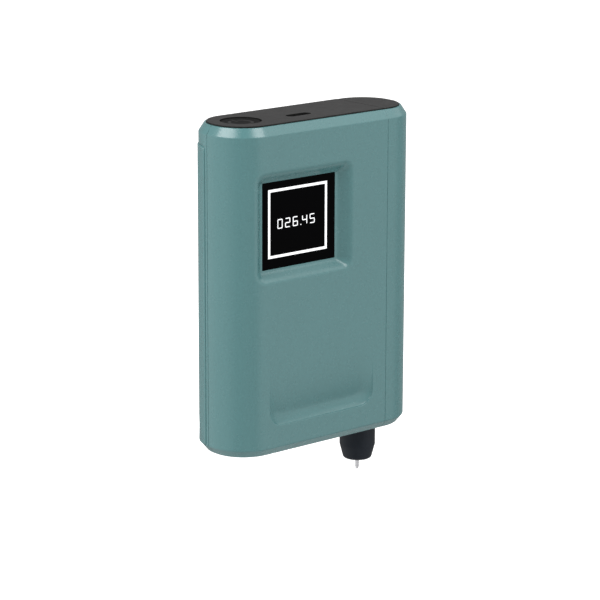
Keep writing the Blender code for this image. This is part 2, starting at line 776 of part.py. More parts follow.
def cover_profile(grow):
    """The rear cover's outline seen from its left side, with its rounded corners."""
    low_y = COVER_EDGE_OFFSET - grow
    high_y = half_depth + COVER_PROUD + COVER_CORNER_RADIUS + grow
    low_z = -half_height + COVER_BOTTOM_MARGIN - grow
    high_z = half_height - COVER_TOP_MARGIN + grow
    centre = ((low_y + high_y) / 2, (low_z + high_z) / 2)
    radius = COVER_CORNER_RADIUS + grow
    half_a, half_b = (high_y - low_y) / 2, (high_z - low_z) / 2
    return rounded(half_a, half_b, radius, SMALL_CORNER_STEPS, centre)


def make_rear_cover():
    """The thin cover that wraps round the rear half, with the pocket of the touch plate."""
    ends = half_height
    section = wrap_outline(-COVER_PROUD, cover_inner_inset, COVER_EDGE_OFFSET, body_end_x)
    cover = place("rear_cover", prism("rear_cover", section, -ends, ends), "teal_plastic")
    profile = prism("cover_profile", cover_profile(0), -reach, reach, "X")
    cut(cover, place("cover_profile", profile), "INTERSECT")
    pocket_floor = touch_inner_y - FIT_GAP
    pocket = prism(
        "touch_pocket", touch_outline(FIT_GAP), pocket_floor, rear_face_y + OVERRUN, "Y"
    )
    cut(cover, place("touch_pocket", pocket))
    hole = round_bars(
        "cover_contact_hole",
        [(touch_x, contact_z)],
        CONTACT_RADIUS + FIT_GAP,
        cover_inner_y - OVERRUN,
        rear_face_y,
    )
    cut(cover, place("cover_contact_hole", hole))
    return cover


def make_rear_shell():
    """The rear half of the body, stepped in under the rear cover, with the screws' bosses."""
    shell = place("rear_shell", body_solid("rear_shell"), "teal_plastic")
    half_space = block("rear_half", (-reach, rear_shell_y, -reach), (body_end_x, reach, reach))
    cut(shell, place("rear_half", half_space), "INTERSECT")
    outer_y = half_depth + OVERRUN
    bosses = round_bars(
        "rear_bosses", case_screw_places, BOSS_RADIUS, rear_shell_y - OVERRUN, outer_y
    )
    cut(shell, hollow("rear_hollow", rear_cavity_inset, [bosses]))
    cut(shell, plate_pocket("rear_plate_pocket"))
    step = COVER_EDGE_OFFSET - FIT_GAP
    section = wrap_outline(-COVER_PROUD - OVERRUN, rear_shell_inset, step, body_end_x + OVERRUN)
    under = place("cover_seat", prism("cover_seat", section, -half_height, half_height))
    profile = prism("cover_seat_profile", cover_profile(FIT_GAP), -reach, reach, "X")
    cut(under, place("cover_seat_profile", profile), "INTERSECT")
    cut(shell, under)
    cut(shell, sleeve_hole("rear_sleeve_hole"))
    shank = CASE_SCREW_RADIUS + FIT_GAP
    cut(shell, place("rear_screw_holes", round_bars(
        "rear_screw_holes", case_screw_places, shank, rear_shell_y - OVERRUN, outer_y)))
    head = CASE_SCREW_HEAD_RADIUS + FIT_GAP
    cut(shell, place("counterbores", round_bars(
        "counterbores", case_screw_places, head, case_head_floor_y, outer_y)))
    hole = round_bars(
        "shell_contact_hole",
        [(touch_x, contact_z)],
        CONTACT_RADIUS + FIT_GAP,
        rear_wall_inner_y - OVERRUN,
        outer_y,
    )
    cut(shell, place("shell_contact_hole", hole))
    return shell


def tab_blocks():
    """The side cover's four tabs: a root inside the cover, and a tongue that enters the body."""
    roots = []
    tongues = []
    tip_x = probe_x - TAB_REACH
    root_x = side_cover_x + TAB_ROOT
    for side in (-1, 1):
        inner = half_depth - (WALL if side < 0 else rear_cavity_inset) - FIT_GAP
        near_y = side * inner
        far_y = side * (inner - TAB_THICKNESS)
        for from_top in (UPPER_TAB_FROM_TOP, LOWER_TAB_FROM_TOP):
            low_z = half_height - from_top - TAB_HEIGHT
            high_z = low_z + TAB_HEIGHT
            wall_y = side * (half_depth + OVERRUN)
            ys = sorted((wall_y, far_y))
            roots.append(block("tab_root", (side_cover_x - OVERRUN, ys[0], low_z), (root_x, ys[1], high_z)))
            ys = sorted((near_y, far_y))
            tongues.append(block("tab", (tip_x, ys[0], low_z), (root_x - OVERRUN, ys[1], high_z)))
    return roots, tongues


def saddle_blocks(low_x, high_x):
    """The blocks on either side of the barrel that carry it at two heights."""
    half_b = BARREL_RADIUS + FIT_GAP + SADDLE_SIDE
    blocks = []
    for centre in saddle_centres:
        low = (low_x, -half_b, centre - SADDLE_HEIGHT / 2)
        high = (high_x, half_b, centre + SADDLE_HEIGHT / 2)
        blocks.append(block("saddle", low, high))
    return blocks


def barrel_clearance(name):
    """The round space that the barrel lies in where the saddles hold it."""
    low = saddle_centres[0] - SADDLE_HEIGHT
    high = saddle_centres[1] + SADDLE_HEIGHT
    radius = BARREL_RADIUS + FIT_GAP
    mesh = round_bars(name, [(probe_x, 0)], radius, low, high, "Z", LARGE_SIDES)
    return place(name, mesh)


def make_side_cover():
    """The right-hand end of the body, which pulls off sideways to free the probe."""
    mesh = body_solid("side_cover")
    mesh.transform(Matrix.Translation((-probe_x, 0, 0)))
    cover = place("side_cover", mesh, "teal_plastic", (probe_x, 0, 0))
    half_space = block("side_half", (side_cover_x, -reach, -reach), (reach, reach, reach))
    cut(cover, place("side_half", half_space), "INTERSECT")
    roots, tongues = tab_blocks()
    saddles = saddle_blocks(side_cover_x - OVERRUN, half_width + OVERRUN)
    cut(cover, hollow("side_hollow", WALL, roots + saddles))
    cut(cover, plate_pocket("side_plate_pocket"))
    cut(cover, sleeve_hole("side_sleeve_hole"))
    cut(cover, barrel_clearance("side_barrel_clearance"))
    for i, mesh in enumerate(tongues):
        cut(cover, place(f"side_tab_{i}", mesh), "UNION")
    return cover


def plate_half(name, low_x, high_x):
    """The stretch of the black plate between two X positions."""
    outline = [(min(max(a, low_x), high_x), b) for a, b in body_outline(plate_inset)]
    return place(name, prism(name, outline, plate_bottom, half_height), "black_plastic")


def make_top_plate():
    """The black plate over the body, with the button's hole and the charging slot."""
    plate = plate_half("top_plate", -half_width, body_end_x)
    hole = round_bars(
        "button_hole",
        [(button_x, 0)],
        BUTTON_RADIUS + FIT_GAP,
        plate_bottom - OVERRUN,
        half_height + OVERRUN,
        "Z",
        LARGE_SIDES,
    )
    cut(plate, place("button_hole", hole))
    half_b = PORT_SLOT_DEPTH / 2
    outline = rounded(PORT_SLOT_WIDTH / 2, half_b, half_b, SMALL_CORNER_STEPS, (port_x, port_y))
    slot = prism("port_slot", outline, plate_bottom - OVERRUN, half_height + OVERRUN)
    cut(plate, place("port_slot", slot))
    return plate


def make_side_cover_top():
    """The D-shaped end of the black plate, which comes off with the side cover."""
    return plate_half("side_cover_top", side_cover_x, half_width)


def make_power_button():
    """The round button, with a flange under the plate and an off-centre post over the switch."""
    radius = BUTTON_RADIUS
    flange = BUTTON_RADIUS + BUTTON_FLANGE_WIDTH
    top = button_top - half_height
    profile = [
        (0, flange_bottom - half_height),
        (flange, flange_bottom - half_height),
        (flange, flange_top - half_height),
        (radius, flange_top - half_height),
        (radius, top),
        (radius - BUTTON_DISH, top),
        (radius / 2, top - BUTTON_DISH / 2),
        (0, top - BUTTON_DISH),
    ]
    mesh = turned("power_button", profile)
    button = place("power_button", mesh, "button_plastic", (button_x, 0, half_height))
    post = round_bars(
        "button_post",
        [(button_x, switch_y)],
        BUTTON_POST_RADIUS,
        plunger_top + FIT_GAP,
        flange_bottom + BUTTON_FLANGE_HEIGHT / 2,
        "Z",
    )
    cut(button, place("button_post", post), "UNION")
    return button


def make_switch():
    """The push switch on the board's front face, and its plunger in a blind hole."""
    half_a = SWITCH_WIDTH / 2
    low = (button_x - half_a, part_face_y - SWITCH_DEPTH, switch_bottom)
    high = (button_x + half_a, part_face_y, switch_top)
    switch = place("switch_body", block("switch_body", low, high), "chip_resin")
    socket_floor = switch_top - PLUNGER_SOCKET
    centre = [(button_x, switch_y)]
    radius = PLUNGER_RADIUS + FIT_GAP
    hole = round_bars("plunger_hole", centre, radius, socket_floor, switch_top + OVERRUN, "Z")
    cut(switch, place("plunger_hole", hole))
    bottom = socket_floor + BUTTON_TRAVEL + FIT_GAP
    mesh = round_bars("switch_plunger", [(0, 0)], PLUNGER_RADIUS, bottom, plunger_top, "Z")
    plunger = place("switch_plunger", mesh, "ivory_nylon", (button_x, switch_y, 0))
    return switch, plunger


def make_port():
    """The charging port: a thin steel shell closed at its base, and the tongue in it."""
    half_b = PORT_SHELL_DEPTH / 2
    centre = (port_x, port_y)
    outline = rounded(PORT_SHELL_WIDTH / 2, half_b, half_b, SMALL_CORNER_STEPS, centre)
    shell = place("port_shell", prism("port_shell", outline, port_bottom, port_top), "steel")
    half_a = PORT_SHELL_WIDTH / 2 - PORT_SHELL_WALL
    half_b = PORT_SHELL_DEPTH / 2 - PORT_SHELL_WALL
    outline = rounded(half_a, half_b, half_b, SMALL_CORNER_STEPS, centre)
    base_top = port_bottom + PORT_BASE_HEIGHT
    cut(shell, place("port_bore", prism("port_bore", outline, base_top, port_top + OVERRUN)))
    low_z = base_top + FIT_GAP
    low = (port_x - TONGUE_WIDTH / 2, port_y - TONGUE_DEPTH / 2, low_z)
    high = (port_x + TONGUE_WIDTH / 2, port_y + TONGUE_DEPTH / 2, low_z + TONGUE_HEIGHT)
    tongue = place("port_tongue", block("port_tongue", low, high), "chip_resin")
    return shell, tongue


def make_display():
    """The window, the display panel behind it, and the holder that spaces it off the board."""
    outline = window_outline(0)
    window = prism("display_window", outline, window_front_y, window_back_y, "Y")
    place("display_window", window, "screen_glass")
    half_a = panel_width / 2
    half_b = panel_height / 2
    low = (screen_x - half_a, panel_front_y, screen_z - half_b)
    high = (screen_x + half_a, panel_back_y, screen_z + half_b)
    place("display_panel", block("display_panel", low, high), "display_glass")
    low = (low[0], panel_back_y + FIT_GAP, low[2])
    high = (high[0], board_front_y - FIT_GAP, high[2])
    holder = place("display_holder", block("display_holder", low, high), "black_plastic")
    low = (low[0] + HOLDER_WALL, low[1] - OVERRUN, low[2] + HOLDER_WALL)
    high = (high[0] - HOLDER_WALL, high[1] + OVERRUN, high[2] - HOLDER_WALL)
    cut(holder, place("holder_opening", block("holder_opening", low, high)))


def make_display_ribbon():
    """The film from the panel's lower edge down and back to its connector on the board."""
    start_z = screen_z - panel_height / 2 - FIT_GAP
    middle_y = panel_back_y - RIBBON_THICKNESS
    end_y = part_face_y - DISPLAY_CONNECTOR_DEPTH / 2
    low_z = start_z - RIBBON_DROP
    bend = min(RIBBON_DROP, end_y - middle_y) / 2
    centre_line = [(middle_y, start_z)]
    for step in range(FILLET_STEPS + 1):
        angle = math.radians(90) * step / FILLET_STEPS
        y = middle_y + bend * (1 - math.cos(angle))
        centre_line.append((y, low_z + bend * (1 - math.sin(angle))))
    for step in range(FILLET_STEPS + 1):
        angle = math.radians(90) * step / FILLET_STEPS
        y = end_y - bend * (1 - math.sin(angle))
        centre_line.append((y, low_z - bend * (1 - math.cos(angle))))
    half = RIBBON_THICKNESS / 2
    one_side = []
    other_side = []
    for i, here in enumerate(centre_line):
        before = centre_line[max(i - 1, 0)]
        after = centre_line[min(i + 1, len(centre_line) - 1)]
        along = Vector((after[0] - before[0], after[1] - before[1])).normalized()
        one_side.append((here[0] - half * along.y, here[1] + half * along.x))
        other_side.append((here[0] + half * along.y, here[1] - half * along.x))
    outline = one_side + other_side[::-1]
    half_a = RIBBON_WIDTH / 2
    ribbon = prism("display_ribbon", outline, screen_x - half_a, screen_x + half_a, "X")
    place("display_ribbon", ribbon, "amber_film")
    top = low_z - bend - FIT_GAP
    half_a = DISPLAY_CONNECTOR_WIDTH / 2
    low = (screen_x - half_a, part_face_y - DISPLAY_CONNECTOR_DEPTH, top - DISPLAY_CONNECTOR_HEIGHT)
    high = (screen_x + half_a, part_face_y, top)
    place("display_connector", block("display_connector", low, high), "ivory_nylon")


def make_board():
    """The main board, with holes for the upper bosses and for its own screws."""
    half_a = (board_right_x - board_left_x) / 2
    half_b = (board_top - board_bottom) / 2
    centre = ((board_left_x + board_right_x) / 2, (board_top + board_bottom) / 2)
    outline = rounded(half_a, half_b, BOARD_CORNER_RADIUS, SMALL_CORNER_STEPS, centre)
    board = prism("main_board", outline, board_front_y, board_back_y, "Y")
    board = place("main_board", board, "circuit_board")
    low = board_front_y - OVERRUN
    high = board_back_y + OVERRUN
    radius = BOSS_RADIUS + FIT_GAP
    cut(board, place("boss_holes", round_bars(
        "boss_holes", case_screw_places, radius, low, high)))
    radius = BOARD_SCREW_RADIUS + FIT_GAP
    cut(board, place("board_screw_holes", round_bars(
        "board_screw_holes", board_screw_places, radius, low, high)))


def make_chip(name, x, z, size):
    """A square chip soldered to the front of the board."""
    low = (x - size / 2, part_face_y - CHIP_HEIGHT, z - size / 2)
    high = (x + size / 2, part_face_y, z + size / 2)
    place(name, block(name, low, high), "chip_resin")


def make_board_parts():
    """The chips, the buzzer and the probe's connector on the front of the board."""
    bottom = -half_height
    processor_x = screen_x + PROCESSOR_FROM_CENTRE
    make_chip("processor_chip", processor_x, bottom + CHIPS_FROM_BOTTOM, PROCESSOR_SIZE)
    charger_z = port_bottom - CHARGER_UNDER_TOP
    charger_x = (button_x + port_x) / 2
    make_chip("charger_chip", charger_x, charger_z, CHARGER_SIZE)
    amplifier_x = cradle_x - AMPLIFIER_FROM_CRADLE
    make_chip("amplifier_chip", amplifier_x, bottom + AMPLIFIER_FROM_BOTTOM, AMPLIFIER_SIZE)
    buzzer_place = (-half_width + BUZZER_FROM_LEFT, bottom + BUZZER_FROM_BOTTOM)
    mesh = round_bars(
        "buzzer",
        [buzzer_place],
        BUZZER_RADIUS,
        part_face_y - BUZZER_HEIGHT,
        part_face_y,
        "Y",
        2 * SMALL_SIDES,
    )
    buzzer = place("buzzer", mesh, "black_plastic")
    front = part_face_y - BUZZER_HEIGHT
    hole = round_bars(
        "buzzer_hole", [buzzer_place], BUZZER_RADIUS / 4, front - OVERRUN, front + BUZZER_HEIGHT / 3
    )
    cut(buzzer, place("buzzer_hole", hole))
    half_c = PROBE_CONNECTOR_HEIGHT / 2
    front_y = part_face_y - PROBE_CONNECTOR_DEPTH
    low = (board_right_x - PROBE_CONNECTOR_WIDTH, front_y, connector_z - half_c)
    high = (board_right_x, part_face_y, connector_z + half_c)
    place("probe_connector", block("probe_connector", low, high), "ivory_nylon")


def make_battery():
    """The battery cell on its foam pad, and its plug, socket and two leads."""
    half_a = battery_half_width
    half_b = BATTERY_HEIGHT / 2
    centre = (battery_x, battery_bottom + half_b)
    outline = rounded(half_a, half_b, BATTERY_CORNER_RADIUS, SMALL_CORNER_STEPS, centre)
    cell = prism("battery_cell", outline, battery_front_y, battery_back_y, "Y")
    place("battery_cell", cell, "battery_foil")
    low_y = battery_back_y + FIT_GAP
    low = (battery_x - half_a + PAD_MARGIN, low_y, battery_bottom + PAD_MARGIN)
    high = (battery_x + half_a - PAD_MARGIN, low_y + PAD_THICKNESS, battery_top - PAD_MARGIN)
    place("battery_pad", block("battery_pad", low, high), "foam")
    face_y = board_back_y + SOLDER_GAP
    half_a = SOCKET_WIDTH / 2
    low = (socket_x - half_a, face_y, socket_z - SOCKET_HEIGHT / 2)
    high = (socket_x + half_a, face_y + SOCKET_DEPTH, socket_z + SOCKET_HEIGHT / 2)
    place("battery_socket", block("battery_socket", low, high), "ivory_nylon")
    plug_top = low[2] - FIT_GAP
    plug_bottom = plug_top - PLUG_HEIGHT
    low = (low[0], face_y, plug_bottom)
    high = (high[0], face_y + SOCKET_DEPTH, plug_top)
    place("battery_plug", block("battery_plug", low, high), "ivory_nylon")
    plug_y = face_y + SOCKET_DEPTH / 2
    cell_y = (battery_front_y + battery_back_y) / 2
    start_z = battery_top + FIT_GAP
    end_z = plug_bottom - FIT_GAP
    across = plug_y - cell_y
    rise = end_z - start_z
    for name, side in (("red", -1), ("black", 1)):
        x = socket_x + side * BATTERY_LEAD_SPACING / 2
        stops = [
            (x, cell_y + across * across_share, start_z + rise * rise_share)
            for across_share, rise_share in BATTERY_LEAD_SHARES
        ]
        route = smooth_route(stops)
        tube(f"battery_lead_{name}", route, BATTERY_LEAD_RADIUS, f"{name}_insulation")


def make_sleeve():
    """The tapered nose: it hangs by its collar on the bottom wall and holds the barrel."""
    bore = BARREL_RADIUS + FIT_GAP
    pin_bore = PIN_RADIUS + FIT_GAP
    centre_r = SLEEVE_TIP_RADIUS - SLEEVE_TIP_FILLET
    centre_z = sleeve_tip_z + SLEEVE_TIP_FILLET
    profile = [(pin_bore, sleeve_tip_z)]
    for step in range(FILLET_STEPS + 1):
        angle = math.radians(90) * step / FILLET_STEPS
        radius = centre_r + SLEEVE_TIP_FILLET * math.sin(angle)
        profile.append((radius, centre_z - SLEEVE_TIP_FILLET * math.cos(angle)))
    profile += [
        (SLEEVE_RADIUS, sleeve_tip_z + SLEEVE_CONE_HEIGHT),
        (SLEEVE_RADIUS, collar_bottom),
        (SLEEVE_RADIUS + COLLAR_WIDTH, collar_bottom),
        (SLEEVE_RADIUS + COLLAR_WIDTH, collar_top),
        (SLEEVE_RADIUS, collar_top),
        (SLEEVE_RADIUS, neck_top),
        (bore, neck_top),
        (bore, sleeve_floor_z),
        (pin_bore, sleeve_floor_z),
    ]
    mesh = turned("probe_sleeve", profile, loop=True)
    place("probe_sleeve", mesh, "nose_plastic", (probe_x, 0, 0))


def make_barrel():
    """The steel barrel: a hole for the pin below, a seat for the spring inside, an open top."""
    pin_bore = PIN_RADIUS + FIT_GAP
    rod_bore = ROD_RADIUS + FIT_GAP
    profile = [
        (pin_bore, barrel_bottom),
        (BARREL_RADIUS, barrel_bottom),
        (BARREL_RADIUS, barrel_top),
        (barrel_bore, barrel_top),
        (barrel_bore, spring_seat_top),
        (rod_bore, spring_seat_top),
        (rod_bore, spring_seat_bottom),
        (barrel_bore, spring_seat_bottom),
        (barrel_bore, barrel_bottom + BARREL_END_WALL),
        (pin_bore, barrel_bottom + BARREL_END_WALL),
    ]
    mesh = turned("probe_barrel", profile, 2 * SMALL_SIDES, loop=True)
    place("probe_barrel", mesh, "steel", (probe_x, 0, 0))


def make_pin():
    """The probe pin with its shoulder, and the rod that runs up through the spring."""
    shoulder = barrel_bore - FIT_GAP
    profile = [
        (0, pin_tip_z),
        (PIN_POINT_RADIUS, pin_tip_z),
        (PIN_RADIUS, pin_tip_z + PIN_POINT_HEIGHT),
        (PIN_RADIUS, shoulder_bottom),
        (shoulder, shoulder_bottom),
        (shoulder, shoulder_top),
        (ROD_RADIUS, shoulder_top),
        (ROD_RADIUS, rod_top),
        (0, rod_top),
    ]
    mesh = turned("probe_pin", profile, SMALL_SIDES)
    place("probe_pin", mesh, "steel", (probe_x, 0, 0))


def spring_points():
    """Points of the spring's helix between the pin's shoulder and the seat above it."""
    low = shoulder_top + FIT_GAP + SPRING_WIRE_RADIUS
    high = spring_seat_bottom - FIT_GAP - SPRING_WIRE_RADIUS
    count = SPRING_TURNS * SPRING_POINTS_PER_TURN
    points = []
    for i in range(count + 1):
        angle = math.radians(360) * i / SPRING_POINTS_PER_TURN
        height = low + (high - low) * i / count
        points.append((SPRING_RADIUS * math.cos(angle), SPRING_RADIUS * math.sin(angle), height))
    return points


def least_gap(points, radius):
    """The least clear gap between stretches of a coil that lie half a turn or more apart."""
    apart = SPRING_POINTS_PER_TURN // 2
    gaps = []
    for i, here in enumerate(points):
        for there in points[i + apart:]:
            gaps.append((Vector(here) - Vector(there)).length - 2 * radius)
    return min(gaps)


def make_spring():
    """The coil spring that pushes the pin down."""
    points = spring_points()
    gap = least_gap(points, SPRING_WIRE_RADIUS)
    print(f"probe_spring: least gap to itself {1000 * gap:.2f} mm")
    tube("probe_spring", points, SPRING_WIRE_RADIUS, "spring_steel", (probe_x, 0, 0), resolution=1)


def make_probe_top():
    """The heater on the rod, and the cap that closes the barrel."""
    radius = barrel_bore - FIT_GAP
    heater = round_bars("probe_heater", [(0, 0)], radius, heater_bottom, heater_top, "Z")
    place("probe_heater", heater, "ceramic", (probe_x, 0, 0))
    flange_low = barrel_top + FIT_GAP
    cap_top = flange_low + END_CAP_FLANGE_HEIGHT
    flange = BARREL_RADIUS + END_CAP_FLANGE_WIDTH
    profile = [
        (0, plug_bottom),
        (radius, plug_bottom),
        (radius, flange_low),
        (flange, flange_low),
        (flange, cap_top),
        (0, cap_top),
    ]
    mesh = turned("probe_end_cap", profile, 2 * SMALL_SIDES)
    place("probe_end_cap", mesh, "black_plastic", (probe_x, 0, 0))
    return cap_top


def make_probe_lead(cap_top):
    """The lead from the end cap over to the connector, through the cradle's hole."""
    start_z = cap_top + FIT_GAP
    rise = connector_z - start_z
    end_x = board_right_x + FIT_GAP
    across = cradle_right_x - probe_x
    stops = [
        (probe_x + across * x_share, connector_y * y_share, start_z + rise * z_share)
        for x_share, y_share, z_share in PROBE_LEAD_SHARES
    ]
    stops += [(cradle_x, connector_y, connector_z), (end_x, connector_y, connector_z)]
    tube("probe_lead", smooth_route(stops), LEAD_RADIUS, "grey_insulation")


def make_cradle():
    """The partition beside the probe: saddles for the barrel, and a hole for the lead."""
    low_y = grip_backing_y + FIT_GAP
    high_y = rear_wall_inner_y - FIT_GAP
    low = (cradle_x, low_y, inside_bottom + BOTTOM_CHAMFER_HEIGHT)
    high = (cradle_right_x, high_y, ledge_bottom - TOP_CHAMFER_HEIGHT)
    cradle = place("probe_cradle", block("probe_cradle", low, high), "black_plastic")
    saddles = saddle_blocks(cradle_right_x - OVERRUN, body_end_x - FIT_GAP)
    for i, mesh in enumerate(saddles):
        cut(cradle, place(f"cradle_saddle_{i}", mesh), "UNION")
    cut(cradle, barrel_clearance("cradle_barrel_clearance"))
    hole = round_bars(
        "lead_hole",
        [(connector_y, connector_z)],
        LEAD_RADIUS + 2 * FIT_GAP,
        cradle_x - OVERRUN,
        cradle_right_x + OVERRUN,
        "X",
    )
    cut(cradle, place("lead_hole", hole))


def make_screw(name, x, z, head_floor_y, tip_y, head, shank, sides=SMALL_SIDES):
    """A pan-head screw along Y, with its head at the rear and a round socket in it."""
    head_radius, head_height = head
    length = head_floor_y - tip_y
    socket = head_radius * SCREW_SOCKET_SHARE
    profile = [
        (0, -length),
        (shank, -length),
        (shank, 0),
        (head_radius, 0),
        (head_radius, head_height),
        (socket, head_height),
        (socket, head_height / 2),
        (0, head_height / 2),
    ]
    mesh = turned(name, profile, sides)
    place(name, mesh, "steel", (x, head_floor_y, z), (math.radians(-90), 0, 0))


def make_screws():
    """The four case screws from the rear, and the four screws of the board."""
    head = (CASE_SCREW_HEAD_RADIUS, CASE_SCREW_HEAD_HEIGHT - FIT_GAP)
    tip_y = front_shell_y - CASE_SCREW_BITE
    seat_y = case_head_floor_y + FIT_GAP
    for i, (x, z) in enumerate(case_screw_places):
        make_screw(f"case_screw_{i + 1}", x, z, seat_y, tip_y, head, CASE_SCREW_RADIUS)
    head = (BOARD_SCREW_HEAD_RADIUS, BOARD_SCREW_HEAD_HEIGHT)
    seat_y = board_back_y + FIT_GAP
    tip_y = board_front_y - FIT_GAP - BOARD_SCREW_BITE
    for i, (x, z) in enumerate(board_screw_places):
        make_screw(f"board_screw_{i + 1}", x, z, seat_y, tip_y, head, BOARD_SCREW_RADIUS)


def touch_outline(margin):
    """The touch plate's outline on the back, made larger by a margin."""
    half_a = TOUCH_WIDTH / 2 + margin
    half_b = TOUCH_HEIGHT / 2 + margin
    radius = TOUCH_CORNER_RADIUS + margin
    return rounded(half_a, half_b, radius, SMALL_CORNER_STEPS, (touch_x, touch_z))


def make_touch_plate():
    """The steel plate on the back, and the spring contact between it and the board."""
    mesh = prism("touch_plate", touch_outline(0), touch_inner_y, touch_outer_y, "Y")
    place("touch_plate", mesh, "steel")
    length = touch_inner_y - FIT_GAP - (board_back_y + SOLDER_GAP)
    profile = [
        (0, 0),
        (CONTACT_RADIUS, 0),
        (CONTACT_RADIUS, CONTACT_BARREL_LENGTH),
        (CONTACT_TIP_RADIUS, CONTACT_BARREL_LENGTH),
        (CONTACT_TIP_RADIUS, length),
        (0, length),
    ]
    mesh = turned("touch_contact", profile, SMALL_SIDES)
    location = (touch_x, board_back_y + SOLDER_GAP, contact_z)
    place("touch_contact", mesh, "brass", location, (math.radians(-90), 0, 0))


def sharpen_creases():
    """Shades every piece smooth except across edges that turn by more than the sharp angle."""
    group = bpy.data.node_groups.new("smooth_by_angle", "GeometryNodeTree")
    group.is_modifier = True
    group.interface.new_socket("Geometry", in_out="INPUT", socket_type="NodeSocketGeometry")
    group.interface.new_socket("Geometry", in_out="OUTPUT", socket_type="NodeSocketGeometry")
    source = group.nodes.new("NodeGroupInput")
    edge_angle = group.nodes.new("GeometryNodeInputMeshEdgeAngle")
    compare = group.nodes.new("FunctionNodeCompare")
    compare.operation = "LESS_THAN"
    compare.inputs["B"].default_value = SHARP_ANGLE
    shade = group.nodes.new("GeometryNodeSetShadeSmooth")
    shade.domain = "EDGE"
    result = group.nodes.new("NodeGroupOutput")
    group.links.new(edge_angle.outputs["Unsigned Angle"], compare.inputs["A"])
    group.links.new(source.outputs["Geometry"], shade.inputs["Geometry"])
    group.links.new(compare.outputs["Result"], shade.inputs["Shade Smooth"])
    group.links.new(shade.outputs["Geometry"], result.inputs["Geometry"])
    for piece in frame.children:
        if piece.type == "MESH" and not piece.hide_render:
            piece.modifiers.new("smooth_by_angle", "NODES").node_group = group


clear_scene()
materials = {name: make_material(name) for name in FINISHES}
frame = make_frame()
make_front_shell()
make_rear_shell()
make_rear_cover()
make_side_cover()
make_top_plate()
make_side_cover_top()
make_power_button()
make_switch()
make_port()
make_display()
make_display_ribbon()
make_board()
make_board_parts()
make_battery()
make_sleeve()
make_barrel()
make_pin()
make_spring()
make_probe_lead(make_probe_top())
make_cradle()
make_screws()
make_touch_plate()
sharpen_creases()
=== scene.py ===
# %% [markdown]
# # A hand-held diamond tester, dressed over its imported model
#
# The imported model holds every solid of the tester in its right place. This lesson draws the pieces that the
# eye meets, with soft edges and fine seams, and gives every piece a finish. Lengths here are millimetres,
# measured from the middle of the body: X to the right, Y to the back, Z up. They become metres at the end.

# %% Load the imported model
import json
import math

import bmesh
import bpy
import numpy as np
from mathutils import Matrix, Vector
from mathutils.geometry import tessellate_polygon

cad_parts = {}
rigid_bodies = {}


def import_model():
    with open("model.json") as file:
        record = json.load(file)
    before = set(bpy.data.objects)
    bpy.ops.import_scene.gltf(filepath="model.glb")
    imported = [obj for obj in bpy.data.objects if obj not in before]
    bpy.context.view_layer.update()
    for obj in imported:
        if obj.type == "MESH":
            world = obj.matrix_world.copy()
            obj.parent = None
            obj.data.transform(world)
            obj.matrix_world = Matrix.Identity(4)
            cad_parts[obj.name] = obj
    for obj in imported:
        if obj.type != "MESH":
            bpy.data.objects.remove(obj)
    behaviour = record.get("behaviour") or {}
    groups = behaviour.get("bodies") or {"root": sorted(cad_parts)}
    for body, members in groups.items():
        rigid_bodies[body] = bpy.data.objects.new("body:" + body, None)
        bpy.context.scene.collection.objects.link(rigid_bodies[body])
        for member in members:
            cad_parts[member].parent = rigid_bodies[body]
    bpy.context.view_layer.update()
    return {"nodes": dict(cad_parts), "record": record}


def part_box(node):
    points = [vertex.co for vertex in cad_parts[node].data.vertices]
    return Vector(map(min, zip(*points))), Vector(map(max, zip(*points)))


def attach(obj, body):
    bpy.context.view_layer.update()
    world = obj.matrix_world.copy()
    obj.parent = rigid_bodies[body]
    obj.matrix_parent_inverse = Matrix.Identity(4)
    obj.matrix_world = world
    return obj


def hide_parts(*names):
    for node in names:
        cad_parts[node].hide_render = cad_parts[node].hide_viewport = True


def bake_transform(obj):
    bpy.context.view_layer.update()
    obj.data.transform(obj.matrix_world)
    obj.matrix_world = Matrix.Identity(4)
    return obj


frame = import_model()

# %% [markdown]
# The body is a slab with round ends. Seen from above, its outline is two short and two long straights joined
# by four quarter circles. A point on it can be named by how far it lies along the outline, so every wall,
# groove and chamfer becomes a function of two numbers: the way along and the way in from the outside.

# %% The outline of the body
HALF_WIDTH, HALF_DEPTH, HALF_HEIGHT, CORNER = 38.4, 13.65, 52.75, 13.0
REAR_FACE = 13.95
CORNER_X, CORNER_Y = HALF_WIDTH - CORNER, HALF_DEPTH - CORNER
QUARTER = CORNER * math.pi / 2
LONG, SHORT = 2 * CORNER_X, 2 * CORNER_Y

stops = np.concatenate([[0], np.cumsum([LONG, QUARTER, SHORT, QUARTER, LONG, QUARTER, SHORT, QUARTER, LONG])])
stop_x = CORNER_X * np.array([1, -1, -1, -1, -1, 1, 1, 1, 1, -1])
stop_y = CORNER_Y * np.array([-1, -1, -1, 1, 1, 1, 1, -1, -1, -1])
stop_turn = np.radians([-90, -90, -180, -180, -270, -270, -360, -360, -450, -450])


def round_the_body(along, inset):
    """The X and Y of points on the outline.

    Each point is a centre plus the corner radius, less the inset, times the outward direction. The centre
    slides on the straights and rests on the corners. The direction turns on the corners only.
    """
    turn = np.interp(along, stops, stop_turn)
    reach = CORNER - inset
    x = np.interp(along, stops, stop_x) + reach * np.cos(turn)
    y = np.interp(along, stops, stop_y) + reach * np.sin(turn)
    return x, y


def along_front(x):
    """How far along the outline the front face has this X, on its left corner too."""
    x = np.asarray(x, float)
    arc = np.arcsin(np.clip((-CORNER_X - x) / CORNER, 0, 1))
    return np.where(x > -CORNER_X, CORNER_X - x, LONG + CORNER * arc)


def along_left(y):
    """How far along the outline the left end has this Y, behind its middle."""
    return stops[3] + CORNER * math.asin((y - CORNER_Y) / CORNER)


def along_rear(x):
    """How far along the outline the straight part of the back has this X."""
    return stops[4] + x + CORNER_X


